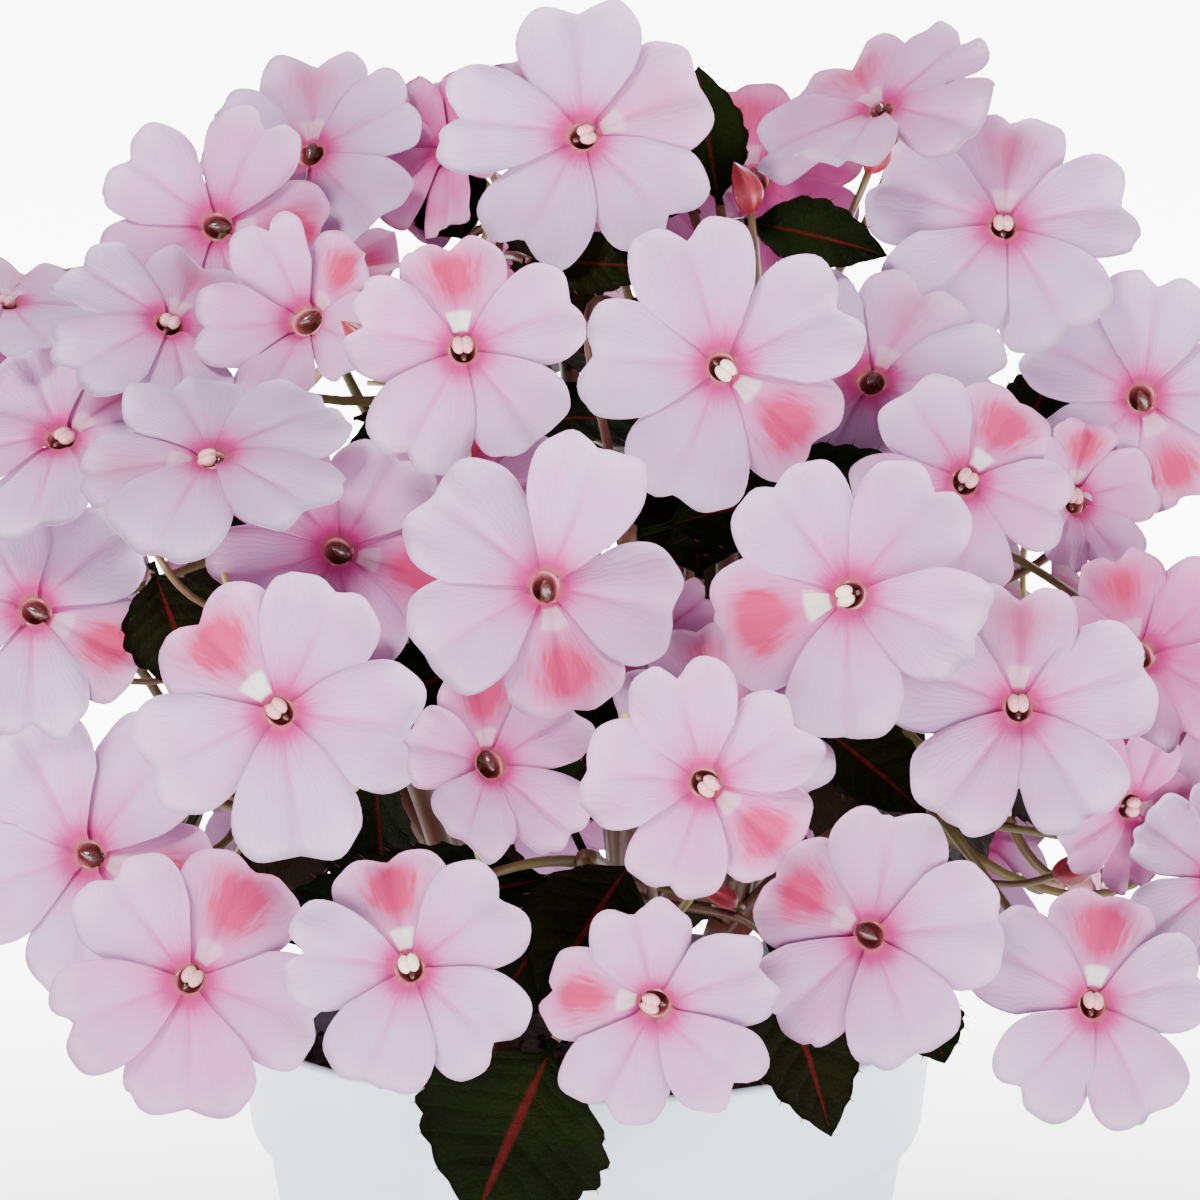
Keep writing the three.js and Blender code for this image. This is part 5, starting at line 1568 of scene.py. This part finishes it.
@dataclass
class LeafyStem:
    """One leafy stem: its trunk, branches, stalks, leaves and buds."""

    number: int
    trace: Trace
    finishes: Finishes
    shape: Shape = field(init=False)
    TRUNK_GRID = (16, 12)
    BRANCH_GRID = (20, 10)
    STALK_GRID = (16, 8)
    STALK_THINNING = (0.95, 0.8, 0.85)
    BUD_SIDES = 20
    BUD_GIRTH = 0.95
    BUD_CURVE = 0.06
    KEEL = 0.10

    # Rings of a bud: place along it and radius, both as shares of its length
    BUD_PROFILE = (
        (0.0, 0.01), (0.04, 0.12), (0.12, 0.2), (0.25, 0.27), (0.42, 0.29), (0.6, 0.25), (0.76, 0.18),
        (0.9, 0.08), (1.0, 0.01),
    )

    def __post_init__(self) -> None:
        """Starts its mesh with its trunk and branches."""
        f = self.finishes
        self.shape = Shape(f"foliage_{self.number + 1}", [f.stem, f.leaf, f.bud])
        self._tube(trunk_curve(self.number), TRUNK_RADII, self.TRUNK_GRID, TRUNK_TONE)
        for tip in BRANCH_TIPS:
            self._tube(branch_curve(self.number, tip), BRANCH_RADII, self.BRANCH_GRID, BRANCH_TONE)

    def _tube(self, curve: Curve, radii: Sequence[float], grid: tuple[int, int], tone: float) -> None:
        """Adds a tube of stem, with a grid of rings by sides."""
        points, faces = tube(curve, radii, *grid)
        self.shape.add(points, faces, 0, tone=tone)

    def add_stalk(self, curve: Curve, radii: Sequence[float], tone: float) -> None:
        """Adds a stalk, thinner than its solid half way and sunk into the branch."""
        seat, middle, low = self.STALK_THINNING
        radii = (radii[0] * seat, radii[1] * middle, radii[1] * low, radii[2])
        self._tube(curve, radii, self.STALK_GRID, tone)

    def add_leaf(self, leaf: Leaf, frame: Frame, seed: int) -> None:
        """Adds a leaf."""
        leaf.add_to(self.shape, frame, 1, 0, seed)

    def add_bud(self, frame: Frame, size: float) -> None:
        """Adds a pointed bud with five keels."""
        profile, sides = self.BUD_PROFILE, self.BUD_SIDES
        angle = np.arange(sides) * TAU / sides
        keel = 1 + self.KEEL * np.cos(BUD_KEELS * angle)
        rows = []
        for along, radius in profile:
            girth = keel * radius * size * self.BUD_GIRTH
            side = self.BUD_CURVE * size * math.sin(3 * along)
            rows.append(np.stack(
                (np.cos(angle) * girth + side, np.full(sides, along * size), -np.sin(angle) * girth), axis=1))
        points = np.concatenate(rows)
        faces = [grid_faces(len(profile), sides, closed=True),
                 np.arange(sides)[::-1][None, :], (len(profile) - 1) * sides + np.arange(sides)[None, :]]
        values = np.tile(0.5 + 0.5 * np.cos(BUD_KEELS * angle), len(profile))
        self.shape.add(frame.world(points), faces, 2, across=values)

    def whorl_leaves(self) -> None:
        """Finds and adds the leaves round each branch tip."""
        for side, tip in enumerate(BRANCH_TIPS):
            curve = branch_curve(self.number, tip)
            for order in range(WHORL_LEAVES):
                seed = WHORL_SEED + 20 * self.number + 4 * side + order
                found = self._whorl_leaf(curve, seed, order)
                if found:
                    self.add_leaf(*found, seed)

    def _whorl_leaf(self, curve: Curve, seed: int, order: int) -> tuple[Leaf, Frame] | None:
        """Finds one leaf by the tries that its solid made."""
        draws = Draws(seed)
        size = 1 + draws.spread(WHORL_SPREAD)
        offset = order * 360 / WHORL_LEAVES + draws.one() * WHORL_SWING - WHORL_START
        phase = draws.one() * WHORL_PHASES
        for shrink in WHORL_SHRINKS:
            leaf = Leaf(WHORL_LENGTH * size * shrink, WHORL_WIDTH * size * shrink, WHORL_DROOP, phase)
            for opening in WHORL_OPENINGS:
                for turn in WHORL_TURNS:
                    frame = whorl_frame(curve, order, offset + turn, opening)
                    hits = self.trace.hits(frame.world(leaf.markers()), LEAF_THICKNESS / 2)
                    if shows_leaf(hits):
                        return leaf, frame
        return None

    def build(self) -> None:
        """Makes the piece and lets it stand for the solid."""
        stand_for(self.shape.build(), f"leafy_stem_{self.number + 1}")


def whorl_frame(curve: Curve, order: int, turn: float, opening: float) -> Frame:
    """The frame of a leaf of a whorl."""
    tip = curve.at(1.0)
    outward = unit(np.array((tip[0], tip[1], WHORL_FLATTEN * (tip[2] - DOME_MIDDLE))))
    radial = turned(unit(np.cross(SKYWARD, outward)), outward, math.radians(turn))
    side = np.cross(outward, radial)
    aim = turned(outward, side, math.radians(opening))
    face = turned(-radial, side, math.radians(opening))
    root = branch_point(curve, WHORL_ROOT - WHORL_STEP * order) + radial * WHORL_OFFSET
    return Frame.of(root, face, aim)


class Foliage:
    """The five leafy stems and all that grows on them."""

    def __init__(self, nodes: dict[str, bpy.types.Object], finishes: Finishes) -> None:
        """Reads the solids and starts the stems."""
        self.traces = [Trace(f"leafy_stem_{k + 1}", nodes) for k in range(STEM_COUNT)]
        self.stems = [LeafyStem(k, trace, finishes) for k, trace in enumerate(self.traces)]
        self.routes = Routes(self.traces)

    def stalk(self, seat: Points, back: Points, start: Points, name: str) -> None:
        """Adds the stalk of a bloom or spray, begun at the form that it carries."""
        route = self.routes.find(seat, back, STALK_RADII[1], BLOOM_STALK_REACH)
        if route is None:
            LOG.warning("%s: no stalk found", name)
            return
        controls = (start, *route.curve.controls[1:])
        self.stems[route.stem].add_stalk(Curve(controls), STALK_RADII, BLOOM_STALK_TONE)

    def buds(self) -> None:
        """Finds and adds the buds with their stalks."""
        for k, (at, near, lean, size) in enumerate(BUDS):
            aim = RIGHTWARD * math.sin(math.radians(lean)) + UPWARD * math.cos(math.radians(lean))
            aim = unit(aim - AHEAD * BUD_TILT)
            for slide in SLIDES:
                frame = Frame.of(sight_point(at, near + slide), -AHEAD, aim)
                tip = frame.world((0, size, 0))
                owner = next((s for s in self.stems if s.trace.hits(tip, 0.0, BUD_TOLERANCE)[0]), None)
                if owner is None:
                    continue
                owner.add_bud(frame, size)
                seat = frame.world((0, BUD_SEAT, 0))
                route = self.routes.find(seat, -aim, BUD_STALK_RADII[1], BUD_STALK_REACH)
                if route:
                    self.stems[route.stem].add_stalk(route.curve, BUD_STALK_RADII, BUD_STALK_TONE)
                break
            else:
                LOG.warning("bud %d: not found", k)

    def shown_leaves(self) -> None:
        """Finds and adds the leaves that show between the blooms."""
        for k, entry in enumerate(SHOWN_LEAVES):
            found = self._shown_leaf(entry, k)
            if found is None:
                LOG.warning("leaf %d: not found", k)
                continue
            owner, leaf, frame = found
            owner.add_leaf(leaf, frame, SHOWN_SEED + k)
            seat = frame.world(leaf.point(0.0, LEAF_SEAT / leaf.length))
            back = unit(frame.world(leaf.point(0.0, LEAF_BACK)) - seat)
            route = self.routes.find(seat, back, STALK_RADII[1], LEAF_STALK_REACH)
            if route:
                self.stems[route.stem].add_stalk(route.curve, STALK_RADII, LEAF_STALK_TONE)

    def _shown_leaf(self, entry: tuple, k: int) -> tuple[LeafyStem, Leaf, Frame] | None:
        """Finds one leaf by the tries that its solid made."""
        base_at, tip_at, near, width, roll = entry
        for shrink in LEAF_SHRINKS:
            for shift in LEAF_SHIFTS:
                base = sight_point(base_at, near[0] + shift)
                aim = sight_point(tip_at, near[1] + shift) - base
                length = float(np.linalg.norm(aim))
                face = np.array((math.sin(math.radians(roll)), -math.cos(math.radians(roll)), SHOWN_SKYWARD))
                face = unit(face - aim * np.dot(face, aim) / length**2)
                leaf = Leaf(length * shrink, width * shrink, SHOWN_DROOP, float(k))
                frame = Frame.of(base, face, aim)
                places = frame.world(leaf.markers())
                for stem in self.stems:
                    hits = stem.trace.hits(places, LEAF_THICKNESS / 2)
                    if shows_leaf(hits):
                        return stem, leaf, frame
        return None


def lathe(profile: Profile, sides: int) -> tuple[Points, list[Points]]:
    """A closed turned form from a profile that starts and ends on the axis."""
    angle = np.arange(sides) * TAU / sides
    rows = [
        np.stack((r * np.cos(angle), r * np.sin(angle), np.full(sides, z)), axis=1) for r, z in profile[1:-1]
    ]
    points = np.concatenate((*rows, ((0, 0, profile[0][1]), (0, 0, profile[-1][1]))))
    return points, closed_faces(len(rows), sides)


def rounded(corners: Profile, radius: float, steps: int = 4) -> Profile:
    """A profile with its inner corners rounded."""
    made = [corners[0]]
    for before, corner, after in zip(corners, corners[1:], corners[2:]):
        here = np.array(corner, float)
        one, two = np.array(before) - here, np.array(after) - here
        cut = min(radius, 0.45 * np.linalg.norm(one), 0.45 * np.linalg.norm(two))
        start, end = here + unit(one) * cut, here + unit(two) * cut
        for share in np.linspace(0, 1, steps + 1):
            point = start * (1 - share) ** 2 + 2 * here * share * (1 - share) + end * share**2
            made.append((float(point[0]), float(point[1])))
    made.append(corners[-1])
    return made


class Pot:
    """The plain tapered pot with its rim band."""

    OUTER = (
        (0.0, 0.0), (BASE_RADIUS - BASE_BEVEL, 0.0), (BASE_RADIUS, BASE_BEVEL), (NECK_RADIUS, NECK_HEIGHT),
        (BAND_FOOT_RADIUS - BAND_STEP_IN, BAND_FOOT_HEIGHT - BAND_STEP_DOWN),
        (BAND_FOOT_RADIUS, BAND_FOOT_HEIGHT + BAND_STEP_UP),
        (RIM_RADIUS, POT_HEIGHT - RIM_BEVEL), (RIM_RADIUS - RIM_BEVEL, POT_HEIGHT),
        (RIM_RADIUS - POT_WALL, POT_HEIGHT),
        (BAND_FOOT_RADIUS - POT_WALL, BAND_FOOT_HEIGHT), (NECK_RADIUS - POT_WALL, NECK_HEIGHT),
        (BASE_RADIUS - POT_WALL, POT_FLOOR), (0.0, POT_FLOOR),
    )

    def build(self, finishes: Finishes) -> None:
        """Makes the pot and cuts its drain holes."""
        points, faces = lathe(rounded(self.OUTER, CORNER_ROUND), POT_SIDES)
        shape = Shape("nursery_pot", [finishes.pot])
        shape.add(points, faces, 0)
        made = shape.build()
        for k in range(DRAIN_COUNT):
            self._drill(made, (k + 0.5) * TAU / DRAIN_COUNT)
        stand_for(made, "pot")

    @staticmethod
    def _drill(pot: bpy.types.Object, angle: float) -> None:
        """Cuts one drain hole through the floor."""
        x, y = DRAIN_RING * math.cos(angle), DRAIN_RING * math.sin(angle)
        low, high = -CUTTER_REACH, POT_FLOOR + CUTTER_REACH
        profile = ((0.0, low), (DRAIN_RADIUS, low), (DRAIN_RADIUS, high), (0.0, high))
        points, faces = lathe(profile, CUTTER_SIDES)
        cutter = Shape("drain_cutter", [])
        cutter.add(points + np.array((x, y, 0.0)), faces, 0)
        tool = cutter.build()
        cut = pot.modifiers.new("drain", "BOOLEAN")
        cut.object = tool
        cut.operation = "DIFFERENCE"
        cut.solver = "EXACT"
        apply_modifiers(pot)
        bpy.data.objects.remove(tool)


def apply_modifiers(made: bpy.types.Object) -> None:
    """Turns an object's modifiers into its mesh."""
    graph = bpy.context.evaluated_depsgraph_get()
    mesh = bpy.data.meshes.new_from_object(made.evaluated_get(graph))
    made.modifiers.clear()
    old = made.data
    made.data = mesh
    bpy.data.meshes.remove(old)


class Soil:
    """The plug of peat with its crumbs."""

    RINGS = 34
    SIDES = 110
    CRUMBS = 900
    CRUMB_SEED = 7
    LEVEL = 0.5
    LUMPS = 900.0
    SMALLEST = (0.4, 0.4, 0.3)
    LARGEST = (1.9, 1.3, 0.9)

    @staticmethod
    def height(x: Points, y: Points) -> Points:
        """The height of its top."""
        east = np.sin(x / SOIL_WAVE_X[0] + SOIL_WAVE_X[1])
        north = np.cos(y / SOIL_WAVE_Y[0] + SOIL_WAVE_Y[1])
        return SOIL_TOP + SOIL_RELIEF * east * north - (x * x + y * y) / SOIL_FALL

    def build(self, finishes: Finishes) -> None:
        """Makes the plug with a rough top, strews crumbs on it and lets it stand for the solid."""
        rim = NECK_RADIUS - POT_WALL - SOIL_GAP
        foot = BASE_RADIUS - POT_WALL - SOIL_GAP
        top = [(rim * ring / self.RINGS, SOIL_TOP) for ring in range(self.RINGS, -1, -1)]
        profile = [(0.0, POT_FLOOR + SEAT_GAP), (foot, POT_FLOOR + SEAT_GAP), (rim, NECK_HEIGHT), *top]
        points, faces = lathe(profile, self.SIDES)
        x, y = points[:, 0], points[:, 1]
        rough = 0.5 * np.sin(x * 0.9 + 2 * np.sin(y * 0.4)) * np.cos(y * 0.8 + 1.7 * np.sin(x * 0.35))
        rough += 0.35 * np.sin(x * 2.3 + y * 1.1) * np.sin(y * 2.6 - x * 0.7)
        raised = points[:, 2] > SOIL_TOP - SOIL_SKIN
        points[raised, 2] = (self.height(x, y) + rough)[raised]
        shape = Shape("peat_plug", [finishes.peat])
        shape.add(points, faces, 0)
        made = shape.build()
        self._strew(made, finishes)
        stand_for(made, "soil")

    def _strew(self, plug: bpy.types.Object, finishes: Finishes) -> None:
        """Strews crumbs over the top with a small node tree, and keeps the result as plain mesh."""
        tree = bpy.data.node_groups.new("peat_crumbs", "GeometryNodeTree")
        tree.interface.new_socket("Geometry", in_out="INPUT", socket_type="NodeSocketGeometry")
        density = tree.interface.new_socket(
            "Crumbs per square metre", in_out="INPUT", socket_type="NodeSocketFloat")
        seed = tree.interface.new_socket("Seed", in_out="INPUT", socket_type="NodeSocketInt")
        tree.interface.new_socket("Geometry", in_out="OUTPUT", socket_type="NodeSocketGeometry")
        made = {}
        for key, kind, settings, values in (
            ("source", "NodeGroupInput", {}, {}), ("target", "NodeGroupOutput", {}, {}),
            ("normal", "GeometryNodeInputNormal", {}, {}), ("split", "ShaderNodeSeparateXYZ", {}, {}),
            ("facing", "FunctionNodeCompare", {}, {"B": self.LEVEL}),
            ("scatter", "GeometryNodeDistributePointsOnFaces", {}, {}),
            ("crumb", "GeometryNodeMeshIcoSphere", {}, {"Radius": MM, "Subdivisions": 2}),
            ("jitter", "GeometryNodeSetPosition", {}, {}),
            ("lumps", "ShaderNodeTexNoise", {}, {"Scale": self.LUMPS}),
            ("offset", "ShaderNodeVectorMath", {"operation": "MULTIPLY_ADD"},
             {1: (1.6 * MM,) * 3, 2: (-0.8 * MM,) * 3}),
            ("place", "GeometryNodeInstanceOnPoints", {}, {}),
            ("turn", "FunctionNodeRandomValue", {"data_type": "FLOAT_VECTOR"}, {1: (TAU, TAU, TAU)}),
            ("size", "FunctionNodeRandomValue", {"data_type": "FLOAT_VECTOR"},
             {0: self.SMALLEST, 1: self.LARGEST}),
            ("real", "GeometryNodeRealizeInstances", {}, {}),
            ("paint", "GeometryNodeSetMaterial", {}, {"Material": finishes.peat}),
            ("join", "GeometryNodeJoinGeometry", {}, {}),
        ):
            node = made[key] = tree.nodes.new(kind)
            for name, value in settings.items():
                setattr(node, name, value)
            for name, value in values.items():
                node.inputs[name].default_value = value
        for start, out, end, slot in (
            ("normal", 0, "split", 0), ("split", "Z", "facing", "A"), ("source", 0, "scatter", "Mesh"),
            ("facing", 0, "scatter", "Selection"), ("source", 1, "scatter", "Density"),
            ("source", 2, "scatter", "Seed"), ("crumb", "Mesh", "jitter", "Geometry"),
            ("lumps", "Color", "offset", 0), ("offset", 0, "jitter", "Offset"),
            ("scatter", "Points", "place", "Points"), ("jitter", 0, "place", "Instance"),
            ("turn", "Value", "place", "Rotation"), ("size", "Value", "place", "Scale"),
            ("place", 0, "real", 0), ("real", 0, "paint", "Geometry"), ("source", 0, "join", 0),
            ("paint", 0, "join", 0), ("join", 0, "target", 0),
        ):
            tree.links.new(made[start].outputs[out], made[end].inputs[slot])
        modifier = plug.modifiers.new("crumbs", "NODES")
        modifier.node_group = tree
        area = math.pi * (NECK_RADIUS * MM) ** 2
        modifier[density.identifier] = self.CRUMBS / area
        modifier[seed.identifier] = self.CRUMB_SEED
        apply_modifiers(plug)


class Studio:
    """Pale floor, soft light and the camera."""

    FLOOR = (0.93, 0.93, 0.935)
    LIGHTS = (
        ("key", (-1.3, -1.5, 2.6), 0.9, 150.0),
        ("fill", (2.2, -2.0, 1.1), 1.8, 16.0),
        ("back", (0.6, 1.9, 2.1), 1.0, 70.0),
    )
    WORLD = 0.42
    GLOW = 9.0
    GLOW_SPAN = (0.1, 0.95)
    AIM = (0.0, 0.0, 0.24)
    FAR = 30.0

    def build(self) -> None:
        """Builds the set."""
        self._floor()
        self._world()
        for name, place, size, power in self.LIGHTS:
            self._light(name, place, size, power)
        self._camera()

    def _floor(self) -> None:
        """A wide floor that glows away from the plant."""
        mesh = bpy.data.meshes.new("floor")
        far = self.FAR
        corners = [(-far, -far, 0), (far, -far, 0), (far, far, 0), (-far, far, 0)]
        mesh.from_pydata(corners, [], [(0, 1, 2, 3)])
        f = Finish("floor_white")
        span = f.node("ShaderNodeVectorMath", {0: f.place()}, operation="LENGTH")
        away = Wire(f.tree, span.outputs["Value"]).step(*self.GLOW_SPAN)
        mesh.materials.append(f.close({
            "Base Color": (*self.FLOOR, 1.0), "Roughness": 0.9,
            "Emission Color": f.mix(away, (0.0, 0.0, 0.0), (1.0, 1.0, 1.0)), "Emission Strength": self.GLOW,
        }))
        floor = bpy.data.objects.new("floor", mesh)
        bpy.context.collection.objects.link(floor)

    def _world(self) -> None:
        """Even light from all round."""
        world = bpy.data.worlds.new("studio")
        world.use_nodes = True
        background = world.node_tree.nodes["Background"]
        background.inputs["Color"].default_value = (1.0, 1.0, 1.0, 1.0)
        background.inputs["Strength"].default_value = self.WORLD
        bpy.context.scene.world = world

    @staticmethod
    def _light(name: str, place: Sequence[float], size: float, power: float) -> None:
        """One round lamp that points at the plant."""
        data = bpy.data.lights.new(name, "AREA")
        data.shape = "DISK"
        data.size = size
        data.energy = power
        lamp = bpy.data.objects.new(name, data)
        lamp.location = place
        aim = np.array(Studio.AIM) - np.array(place)
        lamp.rotation_euler = lamp_turn(aim)
        bpy.context.collection.objects.link(lamp)

    @staticmethod
    def _camera() -> None:
        """The viewer's camera."""
        data = bpy.data.cameras.new("camera")
        data.sensor_width = SENSOR_WIDTH
        data.lens = SENSOR_WIDTH * VIEW_DISTANCE / (PICTURE_SIDE * MM_PER_PIXEL)
        camera = bpy.data.objects.new("camera", data)
        camera.location = VIEWER * MM
        camera.rotation_euler = (math.pi / 2 - VIEW_TILT, 0.0, 0.0)
        bpy.context.collection.objects.link(camera)
        bpy.context.scene.camera = camera


def lamp_turn(aim: Points) -> tuple[float, float, float]:
    """The turn that points a lamp's -Z along a direction."""
    aim = unit(aim)
    return (math.acos(-aim[2]), 0.0, math.atan2(aim[0], -aim[1]) + math.pi)


def main() -> None:
    """Builds the whole scene."""
    logging.basicConfig(level=logging.INFO, format="%(name)s: %(message)s")
    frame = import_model()
    nodes = frame["nodes"]
    finishes = Finishes()
    Pot().build(finishes)
    Soil().build(finishes)
    blooms = [
        ShownBloom.settled(bloom, k, Trace(f"bloom_{k + 1:02d}", nodes)) for k, bloom in enumerate(BLOOMS)
    ]
    for bloom in blooms:
        bloom.build(finishes)
    sprays = [Spray.settled(k, Trace(f"spray_{k + 1:02d}", nodes)) for k in range(len(SPRAYS))]
    for spray in sprays:
        spray.build(finishes)
    foliage = Foliage(nodes, finishes)
    for bloom in blooms:
        seat = bloom.frame.world(STALK_SEAT)
        foliage.stalk(seat, -bloom.frame.face, bloom.frame.world(STALK_START), bloom.node)
    for spray in sprays:
        seat = spray.joint + spray.back * FORK_SEAT_GAP
        foliage.stalk(seat, spray.back, spray.joint - spray.back * JOINT_SINK, spray.node)
    foliage.buds()
    foliage.shown_leaves()
    for stem in foliage.stems:
        stem.whorl_leaves()
        stem.build()
    Studio().build()


if __name__ == "__main__":
    main()
